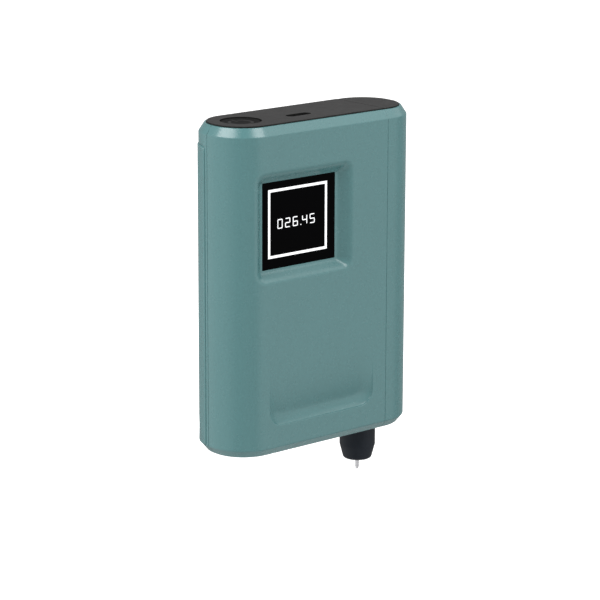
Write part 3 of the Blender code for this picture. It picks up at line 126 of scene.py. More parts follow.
def xyz(x, y, z):
    """Points from their three parts, each of them given for every point or once for all."""
    return np.stack(np.broadcast_arrays(x, y, z), axis=-1)


def columns_of(*parts):
    """The places along the outline where a grid has its columns: in order, and each one once."""
    return np.unique(np.round(np.concatenate(parts), 6))


def face_y(x, inset=0.0):
    """The Y of the front face, set in by the inset, where it curves off at the left corner too."""
    over = np.clip(-CORNER_X - x, 0, CORNER - inset)
    return -CORNER_Y - np.sqrt((CORNER - inset) ** 2 - over ** 2)


print("once round the body:", round(stops[8], 1), "mm")

# %% [markdown]
# A mesh is made from patches. A patch is a grid of points, and every four neighbours on it make a face. The
# patches of a piece share their border points, so merging the doubles sews them together, and flat ends
# are capped. Creases stay sharp where two faces meet steeply, and the rest is shaded smooth.

# %% Patches to pieces
finishes = {}


def softened(corners, steps=4, closed=False):
    """A chain of (a, b, radius) corners with each corner rounded.

    A corner is cut back along both of its sides by the length that its radius asks for, and a curve through
    the corner's two cuts, bent towards the corner, takes its place.
    """
    count = len(corners)
    places = np.array([c[:2] for c in corners], float)
    chain = []
    for i, (_, _, radius) in enumerate(corners):
        here = places[i]
        if radius <= 0 or (not closed and i in (0, count - 1)):
            chain.append(here)
            continue
        back, ahead = places[i - 1] - here, places[(i + 1) % count] - here
        back, back_length = back / np.linalg.norm(back), np.linalg.norm(back)
        ahead, ahead_length = ahead / np.linalg.norm(ahead), np.linalg.norm(ahead)
        half = math.acos(float(np.clip(back @ ahead, -1, 1))) / 2
        cut = min(radius / math.tan(half), back_length * 0.49, ahead_length * 0.49)
        u = np.linspace(0, 1, steps + 1)[:, None]
        first, last = here + back * cut, here + ahead * cut
        weight = math.sin(half)
        weights = (1 - u) ** 2 + 2 * u * (1 - u) * weight + u ** 2
        chain.extend(((1 - u) ** 2 * first + 2 * u * (1 - u) * weight * here + u ** 2 * last) / weights)
    return np.array(chain)


def rows_of_faces(rows, columns, start=0, gaps=None, loop=False):
    """The faces of a grid of points.

    Each gap is a rectangle of cells that are left open. A loop joins the last column to the first.
    """
    number = start + np.arange(rows * columns).reshape(rows, columns)
    if loop:
        number = np.concatenate([number, number[:, :1]], axis=1)
    faces = np.stack([number[:-1, :-1], number[1:, :-1], number[1:, 1:], number[:-1, 1:]], axis=-1)
    kept = np.ones(faces.shape[:2], bool)
    for low_row, high_row, low_column, high_column in gaps or []:
        kept[low_row:high_row, low_column:high_column] = False
    return faces[kept]


def in_metres(points):
    """Points in millimetres from the body's middle, as metres from the middle of the rear cover."""
    return ((np.asarray(points) - [0, REAR_FACE, 0]) * 0.001).tolist()


def start_mesh(name, points, faces):
    """A new mesh, and the form of it that can be edited."""
    mesh = bpy.data.meshes.new(name)
    mesh.from_pydata(in_metres(points), [], faces)
    form = bmesh.new()
    form.from_mesh(mesh)
    return form, mesh


def close_up(form, mesh, sharp):
    """Turns the faces outwards and creases the edges over the sharp angle; gives how many edges are open."""
    bmesh.ops.recalc_face_normals(form, faces=form.faces)
    open_edges = 0
    for edge in form.edges:
        two = len(edge.link_faces) == 2
        open_edges += not two
        edge.smooth = two and edge.calc_face_angle(3.0) < math.radians(sharp)
    for face in form.faces:
        face.smooth = True
    form.to_mesh(mesh)
    form.free()
    return open_edges


def to_mesh(name, patches, sharp=38.0):
    """One closed mesh from patches (points, gaps, loop), with open rims capped."""
    points, faces, start = [], [], 0
    for grid, gaps, loop in patches:
        rows, columns = grid.shape[:2]
        faces.append(rows_of_faces(rows, columns, start, gaps, loop))
        points.append(grid.reshape(-1, 3))
        start += rows * columns
    form, mesh = start_mesh(name, np.concatenate(points), np.concatenate(faces).tolist())
    bmesh.ops.remove_doubles(form, verts=form.verts, dist=3e-6)
    bmesh.ops.dissolve_degenerate(form, edges=form.edges, dist=1e-6)
    bmesh.ops.delete(form, geom=[v for v in form.verts if not v.link_faces], context="VERTS")
    rim = [e for e in form.edges if e.is_boundary]
    if rim:
        bmesh.ops.holes_fill(form, edges=rim, sides=0)
    open_edges = close_up(form, mesh, sharp)
    print(f"{name}: {len(mesh.polygons)} faces, {len(rim)} rim edges, {open_edges} open edges")
    return mesh


def add_object(name, data):
    """An object in the scene for a mesh, a light or a camera."""
    made = bpy.data.objects.new(name, data)
    bpy.context.scene.collection.objects.link(made)
    return made


def piece(mesh, body, slot, *replaced, weighted=True):
    """An object named like its mesh: it rides on a body, takes a finish and stands for CAD nodes."""
    made = add_object(mesh.name, mesh)
    if weighted:
        even = made.modifiers.new("even_shading", "WEIGHTED_NORMAL")
        even.keep_sharp = True
        even.weight = 60
    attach(made, body)
    if replaced:
        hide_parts(*replaced)
    finishes[made.name] = slot
    return made


# %% [markdown]
# The recesses are let into the walls by rings. The cells of the wall's grid are left out over a rectangle,
# and rings run inwards from the rectangle's border: first flat, then over the edge, down the slope and
# across the floor. All rings have the same number of points, so one grid of faces joins them.

# %% Rings for recesses
CORNER_POINTS = 9


def border_of(grid):
    """The points round a grid, each corner repeated to match the rings' round corners."""
    corners = [np.repeat(grid[spot][None], CORNER_POINTS, axis=0)
               for spot in ((0, 0), (0, -1), (-1, -1), (-1, 0))]
    return np.concatenate([corners[0], grid[0, 1:-1], corners[1], grid[1:-1, -1], corners[2],
                           grid[-1, 1:-1][::-1], corners[3], grid[1:-1, 0][::-1]])


def shares_of(values):
    """Where the inner values of a list lie between its first and its last, from 0 to 1."""
    values = np.asarray(values, float)
    return (values[1:-1] - values[0]) / (values[-1] - values[0])


def side_points(first, last, shares):
    """Points at these shares of the straight between two points."""
    return first + (last - first) * np.asarray(shares)[:, None]


def grown(box, by):
    """A rectangle (low a, high a, low b, high b) grown by a length on every side."""
    return box[0] - by, box[1] + by, box[2] - by, box[3] + by


def ring(box, radius, shares_a, shares_b):
    """A rounded rectangle as points (a, b), side by side and corner by corner.

    Each corner is a quarter circle about its own centre. Each side is the straight between two corners,
    with points at the shares that the wall's own grid has.
    """
    low_a, high_a, low_b, high_b = box
    radius = max(min(radius, abs(high_a - low_a) / 2, abs(high_b - low_b) / 2), 0)
    angle = np.radians(np.linspace(0, 90, CORNER_POINTS))
    corners = []
    for a, b, turn in [(low_a, low_b, 180), (high_a, low_b, 270), (high_a, high_b, 0), (low_a, high_b, 90)]:
        centre_a = a + (radius if a == low_a else -radius)
        centre_b = b + (radius if b == low_b else -radius)
        full = angle + math.radians(turn)
        corners.append(np.stack([centre_a + radius * np.cos(full), centre_b + radius * np.sin(full)], 1))
    shares_a, shares_b = np.asarray(shares_a), np.asarray(shares_b)
    chain = []
    for i, shares in enumerate((shares_a, shares_b, 1 - shares_a[::-1], 1 - shares_b[::-1])):
        chain += [corners[i], side_points(corners[i][-1], corners[(i + 1) % 4][0], shares)]
    return np.concatenate(chain)


def upright(flat, y):
    """Points (x, z) stood up in space at a Y, given for each of them or for all."""
    return xyz(flat[:, 0], y, flat[:, 1])


def box_between(outer, inner, share):
    """A rectangle that goes from the outer one at share 0 to the inner one at share 1, and on beyond."""
    return tuple(o + (i - o) * share for o, i in zip(outer, inner))


def closing_boxes(box, count):
    """Rectangles that shrink from a box to the line along its middle."""
    most = min(box[1] - box[0], box[3] - box[2]) / 2
    return [grown(box, -q) for q in np.linspace(0, most, count)[1:]]


def edge_blend(size, steps):
    """Shares and depths over a soft edge: level, then bending down into a slope of one to one."""
    u = np.linspace(0, 1, steps + 1)
    return size * (u ** 2 - (1 - u) ** 2), size * u ** 2


# %% [markdown]
# The shells are profiles carried round the outline. The profile of the front shell goes up the outside,
# over the chamfer and the rim, down into the pocket of the black plate, under its ledge and back down the
# inside. It is one closed loop, so the shell has a real wall thickness wherever it is open.

# %% Shared sizes of the shells
BOTTOM, INSIDE_BOTTOM, INSIDE_BEND = -HALF_HEIGHT, -50.75, -48.25
CHAMFER_IN, TOP_CHAMFER, BOTTOM_CHAMFER, SOLE_IN, WALL = 2.1, 3.2, 2.5, 3.0, 2.0
RIM, RIM_TOP, RIM_EDGE = 2.42, 52.30, 1.805
PLATE_SEAT, LEDGE_IN, LEDGE_FOOT, LEDGE_ROOT = 50.45, 3.85, 48.95, 45.75
SEAM_X, COVER_SEAM_X = 23.38, 23.42
FRONT_PARTING, REAR_PARTING = 0.90, 1.00
PROBE_X, HOLE_RADIUS = 23.4, 5.98
SEAM_RADIUS, SEAM_DEPTH, SEAM_FADE, LEAST_SEAM, OUTSIDE = 0.16, 0.8, 0.8, 0.12, 2.2
SEAM_STEPS = np.array([0, 0.015, 0.04, 0.08, 0.12, 0.16])


def shell_profile(wall_rows, wall, inner_rows):
    """The loop (inset, height) of a shell: up the outside, over the rim, and down the inside."""
    outer = [(SOLE_IN, BOTTOM, 0), (CHAMFER_IN, BOTTOM, 0.3), (0, BOTTOM + BOTTOM_CHAMFER, 0.9)]
    outer += [(0, z, 0) for z in wall_rows]
    outer += [(0, HALF_HEIGHT - TOP_CHAMFER, 0.9), (RIM_EDGE, RIM_TOP, 0.14)]
    inner = [(RIM, RIM_TOP, 0.10), (RIM, PLATE_SEAT, 0), (LEDGE_IN, PLATE_SEAT, 0), (LEDGE_IN, LEDGE_FOOT, 0)]
    inner += [(wall, LEDGE_ROOT, 0)] + [(wall, z, 0) for z in inner_rows[::-1]]
    inner += [(wall, INSIDE_BEND, 0), (wall + CHAMFER_IN, INSIDE_BOTTOM, 0)]
    return softened(outer + inner)


def seam_rounding(along, ends):
    """The extra inset near a seam: a quarter circle that falls away within its radius of the end."""
    extra = np.zeros_like(along)
    for end in ends:
        near = np.clip(1 - np.abs(along - end) / SEAM_RADIUS, 0, 1)
        extra = np.maximum(extra, SEAM_RADIUS * (1 - np.sqrt(1 - near ** 2)) * SEAM_DEPTH)
    return extra


def carried(profile, along, seams):
    """The grid of a profile carried along the outline: rows follow the profile, columns the outline.

    The seams are rounded on the outside only, and hardly at all on the top chamfer, where they fit tightly.
    """
    share = np.clip((HALF_HEIGHT - TOP_CHAMFER - profile[:, 1:]) / SEAM_FADE, LEAST_SEAM, 1)
    extra = seam_rounding(along, seams) * (profile[:, :1] < OUTSIDE) * share
    x, y = round_the_body(along[None, :], profile[:, :1] + extra)
    return xyz(x, y, profile[:, 1:])


def row_at(profile, inset, z):
    """The number of the profile's row at this inset and height."""
    return int(np.argmin(np.hypot(profile[:, 0] - inset, profile[:, 1] - z)))


def column_at(along, value):
    """The number of the column nearest to a place along the outline."""
    return int(np.argmin(np.abs(along - value)))


def with_bottom(grid, edge_x, edge_y):
    """The grid with rows added before and after it, where the bottom ends at a given edge."""
    low, high = (xyz(edge_x, edge_y, z)[None] for z in (BOTTOM, INSIDE_BOTTOM))
    return np.concatenate([low, grid, high, low], axis=0)


print("shell profile points:", len(shell_profile([0.0], WALL, [0.0])))

# %% [markdown]
# The front shell carries two recesses, one for the screen and one for the thumb. Both would be moulded with
# it, so they are drawn as parts of the shell's own surface. Their rectangles are listed here first.

# %% Sizes of the recesses, each rectangle as (low X, high X, low Z, high Z)
GRIP_GAP, SCREEN_GAP = (-27.0, 19.6, -45.2, -13.5), (-34.0, 11.5, 1.0, 40.0)
RECESS_EDGE, RECESS_FLOOR = (-29.75, 8.45, 3.70, 37.60), (-26.90, 4.85, 6.10, 34.35)
WINDOW, OPENING, BACKING = (-25.75, 3.75, 6.9, 34.4), (-24.15, 2.15, 8.5, 32.8), (-31.95, 9.95, 2.2, 39.4)
WINDOW_GAP, WINDOW_LIP, FLOOR_Y, SEAT_Y, LEDGE_Y = 0.08, 0.02, -10.55, -9.15, -7.85
GRIP_EDGE, GRIP_FLOOR = (-25.2, 17.8, -43.15, -16.15), (-21.4, 12.0, -39.7, -18.4)
GRIP_BACKING, GRIP_BACK_Y = (-26.4, 19.0, -44.35, -16.15), -10.85
GRIP_DEPTH, GRIP_START_Z, GRIP_DEEPEST_Z = 1.75, GRIP_EDGE[3] - 1.3, -39.9
RAMP_POWER, RAMP_KNEE, RAMP_TILT = 3.4, 0.955, 0.22
BEAD, BEAD_SHARE = 0.035, 0.21
SCREEN_START_RADIUS, SCREEN_EDGE_RADIUS, SCREEN_RADIUS_LOSS, SOFT_EDGE, SOFT_FOOT = 3.2, 2.9, 2.1, 0.36, 0.24
GRIP_START_RADIUS, GRIP_EDGE_RADIUS, GRIP_FLOOR_RADIUS, RADIUS_STEP = 5.2, 5.0, 2.2, 0.6

# %% [markdown]
# The screen's recess has sloping sides, a flat rim, a pocket that the window is glued into and an opening
# behind it, through which the display shows.

# %% Screen recess
def level_rings(outer, inner, radius, shares):
    """Rings on the face itself, from the square gap in the wall to the first round-cornered rectangle."""
    flats = [ring(box_between(outer, inner, share), radius * share, *shares) for share in (0.25, 0.5, 0.75)]
    return [upright(flat, face_y(flat[:, 0])) for flat in flats]


def screen_rings(outer_border, inner_border, shares):
    """The screen's recess, from the outside of the wall to its inside.

    Over the edge and the slope, the share t takes the rectangle from the recess's edge to its floor, and
    the share w takes Y from the curved face to the flat floor. The upper slope ends at the pocket's edge.
    """
    pocket_top = WINDOW[3] + 2 * WINDOW_GAP + WINDOW_LIP
    edge_t, edge_w = edge_blend(SOFT_EDGE, 8)
    foot_t, foot_w = edge_blend(SOFT_FOOT, 6)
    t = np.concatenate([[-0.5], edge_t, 1 - foot_t[::-1]])
    w = np.concatenate([[0], edge_w, 1 - foot_w[::-1]])
    start_box = box_between(RECESS_EDGE, RECESS_FLOOR, t[0])
    rings = [outer_border] + level_rings(SCREEN_GAP, start_box, SCREEN_START_RADIUS, shares)
    for share, down in zip(t, w):
        left, right, low, high = box_between(RECESS_EDGE, RECESS_FLOOR, share)
        radius = SCREEN_EDGE_RADIUS - SCREEN_RADIUS_LOSS * share
        flat = ring((left, right, low, max(high, pocket_top)), radius, *shares)
        rings.append(upright(flat, face_y(flat[:, 0]) * (1 - down) + FLOOR_Y * down))
    for box, grow, radius, level in (
            (WINDOW, 2 * WINDOW_GAP, 0.22, FLOOR_Y), (WINDOW, WINDOW_GAP + WINDOW_LIP, 0.18, FLOOR_Y + 0.02),
            (WINDOW, WINDOW_GAP, 0.16, FLOOR_Y + 0.08), (WINDOW, WINDOW_GAP, 0.16, SEAT_Y),
            (OPENING, 0, 0.5, SEAT_Y), (OPENING, 0, 0.5, LEDGE_Y),
            (BACKING, 0, 0.3, LEDGE_Y), (BACKING, 0, 0.3, None)):
        flat = ring(grown(box, grow), radius, *shares)
        rings.append(upright(flat, face_y(flat[:, 0], WALL) if level is None else level))
    return np.stack(rings + [inner_border])


# %% [markdown]
# The thumb recess is a wedge: nothing at its top, deepest at its foot, where a steeper wall climbs back to
# the face. The thumb lies in it and finds the foot without looking.

# %% Thumb recess
def grip_floor_depth(x, z):
    """How deep the thumb recess is at a place.

    Going down, a ramp starts level, steepens with a power of the way, and levels off along a parabola over
    the last part of the way. The whole ramp is shallower at the left and deeper at the right.
    """
    fall = np.clip((GRIP_START_Z - z) / (GRIP_START_Z - GRIP_DEEPEST_Z), 0, 1)
    beyond = np.clip(fall - RAMP_KNEE, 0, 1)
    steepness = RAMP_POWER * RAMP_KNEE ** (RAMP_POWER - 1)
    ramp = np.minimum(fall, RAMP_KNEE) ** RAMP_POWER
    ramp = ramp + steepness * (beyond - beyond ** 2 / (2 * (1 - RAMP_KNEE)))
    sideways = (x - (GRIP_EDGE[0] + GRIP_EDGE[1]) / 2) / ((GRIP_EDGE[1] - GRIP_EDGE[0]) / 2)
    return GRIP_DEPTH * ramp * (1 + RAMP_TILT * sideways)


def grip_wall():
    """Shares t across the wall and depths w down it.

    The wall is hollow: a parabola, 1 - (1 - t) squared, steepest at the edge and level at the floor. At the
    edge itself a fillet drops steeply over a small share of the depth, which is the fine bright line there.
    """
    over = np.linspace(0, 1, 5)
    t = np.concatenate([[-0.3], BEAD * (2 * over - 1), np.linspace(BEAD, 1, 12)[1:]])
    inside = np.clip(t, 0, 1)
    drop = np.clip((t + BEAD) / (2 * BEAD), 0, 1)
    return t, BEAD_SHARE * drop ** 2 * (3 - 2 * drop) + (1 - BEAD_SHARE) * (1 - (1 - inside) ** 2)


def grip_rings(border, shares):
    """The thumb recess: its edge, its wall and its ramp.

    Y is the face plus the ramp's depth at that height, times the share w that grows down the wall.
    """
    t, w = grip_wall()
    boxes = [box_between(GRIP_EDGE, GRIP_FLOOR, share) for share in t]
    rings = [border] + level_rings(GRIP_GAP, boxes[0], GRIP_START_RADIUS, shares)
    rows = [(box, GRIP_EDGE_RADIUS - GRIP_FLOOR_RADIUS * share, down)
            for box, share, down in zip(boxes, t, w)]
    rows += [(box, GRIP_FLOOR_RADIUS - i * RADIUS_STEP, 1.0)
             for i, box in enumerate(closing_boxes(boxes[-1], 12))]
    for box, radius, down in rows:
        flat = ring(box, radius, *shares)
        rings.append(upright(flat, face_y(flat[:, 0]) + down * grip_floor_depth(flat[:, 0], flat[:, 1])))
    return np.stack(rings)


def grip_backing_rings(border, shares):
    """The thicker wall behind the thumb recess, seen from the inside."""
    flat = ring(GRIP_BACKING, 0, *shares)
    rings = [border, upright(flat, face_y(flat[:, 0], WALL)), upright(flat, GRIP_BACK_Y)]
    rings += [upright(ring(box, 0, *shares), GRIP_BACK_Y) for box in closing_boxes(GRIP_BACKING, 3)]
    return np.stack(rings)


# %% [markdown]
# The front shell's grid needs a column and a row wherever something begins: at the seams, at the borders of
# the recesses, round the corners, and closely spaced round the hole that the probe's sleeve comes through.

# %% Front shell
grip_rows = np.linspace(GRIP_GAP[2], GRIP_GAP[3], 13)
screen_rows = np.linspace(SCREEN_GAP[2], SCREEN_GAP[3], 15)
front_rows = np.concatenate([grip_rows, screen_rows])
sleeve_turns = np.radians(np.linspace(0, 89.5, 12))
front_x = np.concatenate([
    PROBE_X - HOLE_RADIUS * np.cos(sleeve_turns), [GRIP_GAP[1], 17.405],
    np.linspace(SCREEN_GAP[1], -CORNER_X, 14), [GRIP_GAP[0], SCREEN_GAP[0]],
])
front_end, front_start = along_front(SEAM_X), along_left(FRONT_PARTING)
rear_start = along_left(REAR_PARTING)
front_along = columns_of(front_end + SEAM_STEPS, along_front(front_x), np.linspace(LONG, stops[2], 25),
                         [stops[3]], front_start - SEAM_STEPS)
front_along = front_along[front_along >= front_end - 1e-6]
SOLE_REACH = 7.6


def bottom_edge(along, parting, side):
    """Where the bottom of a shell ends: the parting plane, and round the sleeve on its side of the plane."""
    if side < 0:
        x = np.where(along < LONG, CORNER_X - along,
                     -CORNER_X - SOLE_REACH * (along - LONG) / (front_start - LONG))
    else:
        x = np.where(along > stops[4], along - stops[4] - CORNER_X,
                     -CORNER_X - SOLE_REACH * (stops[4] - along) / (stops[4] - rear_start))
    hole = np.sqrt(np.clip(HOLE_RADIUS ** 2 - (x - PROBE_X) ** 2, 0, None))
    return x, side * np.maximum(side * parting, np.where(x > PROBE_X - HOLE_RADIUS, hole, -HALF_DEPTH))


front_profile = shell_profile(front_rows, WALL, front_rows)
front_grid = carried(front_profile, front_along, [front_end, front_start])
front_grid[:, -1, 1] = FRONT_PARTING
front_patches, front_gaps = [], []
for box, rows in ((GRIP_GAP, grip_rows), (SCREEN_GAP, screen_rows)):
    first, last = (column_at(front_along, along_front(x)) for x in (box[1], box[0]))
    borders = []
    for inset in (0.0, WALL):
        low, high = sorted(row_at(front_profile, inset, z) for z in box[2:])
        front_gaps.append((low + 1, high + 1, first, last))
        block = front_grid[low:high + 1, first:last + 1][:, ::-1]
        borders.append(block if inset == 0.0 else block[::-1])
    shares = shares_of(borders[0][0, :, 0]), shares_of(rows)
    outer_border, inner_border = (border_of(block) for block in borders)
    if box is SCREEN_GAP:
        front_patches.append((screen_rings(outer_border, inner_border, shares), None, True))
    else:
        front_patches.append((grip_rings(outer_border, shares), None, True))
        front_patches.append((grip_backing_rings(inner_border, shares), None, True))
front_sheet = with_bottom(front_grid, *bottom_edge(front_along, FRONT_PARTING, -1))
front_patches.append((front_sheet, front_gaps, False))
piece(to_mesh("front_face_shell", front_patches), "housing", "teal_plastic", "front_shell")

# %% [markdown]
# The side cover is the right-hand end of the body. Its profile is the same loop, carried round the right end,
# and its bottom runs out to the half circle that clears the probe's sleeve. Its tongues, which slide into
# the body, are blocks with soft edges. The saddles, which steady the probe, are plain blocks with a
# half-round bite.

# %% Side cover
side_rows = np.array([-20.0, 0.0, 20.0])
side_start, side_end = along_rear(COVER_SEAM_X), stops[8] + CORNER_X - COVER_SEAM_X
side_along = columns_of(side_start + SEAM_STEPS, [stops[5]], np.linspace(stops[5], stops[6], 25),
                        np.linspace(stops[7], stops[8], 25), side_end - SEAM_STEPS)
side_grid = carried(shell_profile(side_rows, WALL, side_rows), side_along, [side_start, side_end])
corner_x, corner_y = round_the_body(side_along, SOLE_IN)
bearing = np.arctan2(corner_y, corner_x - COVER_SEAM_X)
side_sheet = with_bottom(side_grid, COVER_SEAM_X + HOLE_RADIUS * np.cos(bearing),
                         HOLE_RADIUS * np.sin(bearing))
piece(to_mesh("side_cover_shell", [(side_sheet, None, False)]), "cover", "teal_plastic", "side_cover")


def soft_block(low, high, radius, steps=3):
    """The six patches of a block with round edges.

    A unit sphere cut into six square patches is pulled apart: each point keeps its direction times the
    radius, and moves to the nearest corner, edge or face of the block less the radius.
    """
    low, high = np.array(low, float), np.array(high, float)
    arc = np.linspace(0, 1, steps + 1)
    slant = np.concatenate([-(1 - arc), arc])
    signs = np.repeat([-1.0, 1.0], steps + 1)
    a, b = np.meshgrid(slant, slant, indexing="ij")
    sign_a, sign_b = np.meshgrid(signs, signs, indexing="ij")
    patches = []
    for axis in range(3):
        order = [(axis + i) % 3 for i in range(3)]
        for sign in (-1, 1):
            direction, side = np.zeros(a.shape + (3,)), np.zeros(a.shape + (3,))
            for i, towards, half in zip(order, (sign, np.tan(a * math.pi / 4), np.tan(b * math.pi / 4)),
                                        (sign, sign_a, sign_b)):
                direction[..., i], side[..., i] = towards, half
            direction /= np.linalg.norm(direction, axis=-1, keepdims=True)
            core = np.where(side > 0, high - radius, low + radius)
            patches.append((core + direction * radius, None, False))
    return patches


COVER_FACE, TONGUE_Z, TONGUE_HEIGHT, ROOT_SET_BACK = 23.55, (22.75, -15.25), 12.0, 0.3
TONGUE_X, TONGUE_Y = (19.4, 27.55), ((-11.35, -10.05), (8.95, 10.25))
ROOT_X, ROOT_Y = (COVER_FACE, 27.25), ((-13.0, -10.4), (9.3, 13.0))
tongue_patches = []
for low_z in TONGUE_Z:
    for tongue_y, root_y in zip(TONGUE_Y, ROOT_Y):
        tongue_patches += soft_block(*zip(TONGUE_X, tongue_y, (low_z, low_z + TONGUE_HEIGHT)), 0.3)
        root_z = (low_z + ROOT_SET_BACK, low_z + TONGUE_HEIGHT - ROOT_SET_BACK)
        tongue_patches += soft_block(*zip(ROOT_X, root_y, root_z), 0.2)
piece(to_mesh("side_cover_tongues", tongue_patches), "cover", "teal_plastic")

SADDLE_Z, SADDLE_HALF, SADDLE_REACH, SADDLE_SIDE, BARREL_ROOM = (-38.75, -26.75), 2.0, 36.6, 6.6, 4.4


def saddle(centre_z):
    """A block round the right half of the barrel: an outline with a half-round bite, made thick in Z."""
    turn = np.radians(np.linspace(-90, 90, 17))
    bite = np.stack([COVER_FACE + BARREL_ROOM * np.cos(turn), BARREL_ROOM * np.sin(turn)], 1)
    way, corners = np.linspace(0, 1, 17), [0, 0.35, 0.65, 1]
    outer = np.stack([np.interp(way, corners, [COVER_FACE, SADDLE_REACH, SADDLE_REACH, COVER_FACE]),
                      np.interp(way, corners, np.array([-1, -1, 1, 1]) * SADDLE_SIDE)], 1)
    rows = [xyz(*flat.T, centre_z + side * SADDLE_HALF)
            for flat, side in ((bite, -1), (outer, -1), (outer, 1), (bite, 1), (bite, -1))]
    return np.stack(rows), None, False


piece(to_mesh("side_cover_saddles", [saddle(z) for z in SADDLE_Z]), "cover", "teal_plastic")

# %% [markdown]
# The rear shell is mostly hidden: the rear cover lies in a step in its outside. Only a strip beside the
# parting line and a band at the top and the bottom show. The step has a U-shaped border, open at the right
# end, so its rings are U-shaped too.

# %% U-shaped rings
def u_ring(reach, low_z, high_z, low_radius, high_radius, shares_a, shares_b):
    """A U of points (along, height): from the open end along the bottom, round two corners and back on top.

    The open end is at the seam and the closed end at `reach`. Each corner is a quarter circle of its radius.
    """
    angle = np.radians(np.linspace(0, 90, CORNER_POINTS))
    early, late = 1 - np.sin(angle), 1 - np.cos(angle)
    low = np.stack([reach + low_radius * early, low_z + low_radius * late], 1)
    high = np.stack([reach + high_radius * late, high_z - high_radius * early], 1)
    starts = np.array([[rear_end, low_z], [rear_end, high_z]])
    return np.concatenate([
        starts[:1], side_points(starts[0], low[0], shares_a), low,
        side_points(low[-1], high[0], shares_b), high,
        side_points(high[-1], starts[1], 1 - np.asarray(shares_a)[::-1]), starts[1:],
    ])


def u_border(grid):
    """The border of a grid that is open at its last column: bottom, left side, top."""
    corners = [np.repeat(grid[row, 0][None], CORNER_POINTS, axis=0) for row in (0, -1)]
    return np.concatenate([grid[0, 1:][::-1], corners[0], grid[1:-1, 0], corners[1], grid[-1, 1:]])


def on_body(flat, inset):
    """Points (along, height) put on the body at an inset, as X, Y, Z."""
    return xyz(*round_the_body(flat[:, 0], inset), flat[:, 1])


# %% [markdown]
# The step in the rear shell is a little larger all round than the cover that lies in it, and its own edge is
# rounded. Its floor is drawn by U-shaped rings that shrink to a line.

# %% Rear shell
COVER_LOW, COVER_HIGH, COVER_LOW_RADIUS, COVER_HIGH_RADIUS = -50.25, 45.75, 1.0, 2.0
SEAT_EDGE_Y, SEAT_START_Y, SEAT_GAP, SEAT_IN, SEAT_LOW, SEAT_HIGH = 2.06, 1.6, 0.04, 1.5, -50.6, 46.4
REAR_WALL, SEAT_RUN = 3.1, 20
rear_rows = np.concatenate([np.linspace(-36.0, 36.0, 7), [SEAT_HIGH]])
rear_profile = shell_profile(rear_rows, REAR_WALL, np.array([-20.0, 20.0]))
rear_end, seat_start = along_rear(SEAM_X), along_left(SEAT_START_Y)
rear_hole_x = PROBE_X - HOLE_RADIUS * np.cos(np.radians(np.linspace(10, 89.5, 11)))
rear_along = columns_of(rear_start + SEAM_STEPS, [seat_start], np.linspace(along_left(2.4), stops[4], 25),
                        along_rear(np.array([-12.0, 0.0, 12.0])), along_rear(rear_hole_x),
                        rear_end - SEAM_STEPS)
rear_grid = carried(rear_profile, rear_along, [rear_start, rear_end])
rear_grid[:, 0, 1] = REAR_PARTING
seat_first, seat_last = row_at(rear_profile, 0.3, SEAT_LOW), row_at(rear_profile, 0.0, SEAT_HIGH)
seat_column = column_at(rear_along, seat_start)
seat_block = rear_grid[seat_first:seat_last + 1, seat_column:]
seat_shares = (1 - shares_of(rear_along[seat_column:])[::-1],
               shares_of(rear_profile[seat_first:seat_last + 1, 1]))
seat_left, middle = along_left(SEAT_EDGE_Y), (COVER_LOW + COVER_HIGH) / 2
seat_rings = [u_border(seat_block)]
for grow, inset in ((0.08, 0.0), (0.0, 0.05), (0.0, SEAT_IN)):
    room = grow + SEAT_GAP
    flat = u_ring(seat_left - grow, COVER_LOW - SEAT_GAP - grow / 4, COVER_HIGH + room,
                  COVER_LOW_RADIUS + room, COVER_HIGH_RADIUS + room, *seat_shares)
    seat_rings.append(on_body(flat, inset))
for share in np.linspace(0, 1, 6)[1:]:
    left = 1 - share
    flat = u_ring(seat_left + SEAT_RUN * share, middle + (COVER_LOW - SEAT_GAP - middle) * left,
                  middle + (COVER_HIGH + SEAT_GAP - middle) * left, (COVER_LOW_RADIUS + SEAT_GAP) * left,
                  (COVER_HIGH_RADIUS + SEAT_GAP) * left, *seat_shares)
    seat_rings.append(on_body(flat, SEAT_IN))
rear_sheet = with_bottom(rear_grid, *bottom_edge(rear_along, REAR_PARTING, 1))
rear_gap = [(seat_first + 1, seat_last + 1, seat_column, len(rear_along) - 1)]
piece(to_mesh("rear_half_shell", [(rear_sheet, rear_gap, False), (np.stack(seat_rings), None, False)]),
      "housing", "teal_plastic", "rear_shell")

# %% [markdown]
# The rear cover is a thin sheet that wraps round the rear half and stands 0.3 mm proud of the body. Its edge
# is rounded over, and its flat back has the shallow pocket of the steel touch plate.

# %% Rear cover
COVER_OUT, COVER_IN, COVER_ROUND, COVER_RIM, COVER_EDGE_Y = -0.3, 1.2, 0.45, 0.9, 2.1
TOUCH, TOUCH_GAP, POCKET_Y = (-24.575, 9.425, -39.05, -22.05), (-24.7, 11.4, -42.0, -19.0), 13.13
cover_rows = np.unique(np.concatenate([np.linspace(*TOUCH_GAP[2:], 9), [0.0, 20.0, 42.0]]))
cover_left = along_left(COVER_EDGE_Y)
cover_along = columns_of(np.linspace(along_left(6.0), stops[4], 20),
                         along_rear(np.linspace(*TOUCH_GAP[:2], 13)), [rear_end])
cover_outer, cover_inner = (xyz(*round_the_body(cover_along, inset), cover_rows[:, None])
                            for inset in (COVER_OUT, COVER_IN))
cover_shares = 1 - shares_of(cover_along)[::-1], shares_of(cover_rows)
over = np.radians(np.linspace(0, 90, 5))
rim_steps = [(-COVER_RIM, COVER_OUT)]
rim_steps += [(-COVER_ROUND * (1 - math.sin(a)), COVER_OUT + COVER_ROUND * (1 - math.cos(a))) for a in over]
rim_steps += [(0.0, COVER_IN)]
cover_rings = [u_border(cover_outer)]
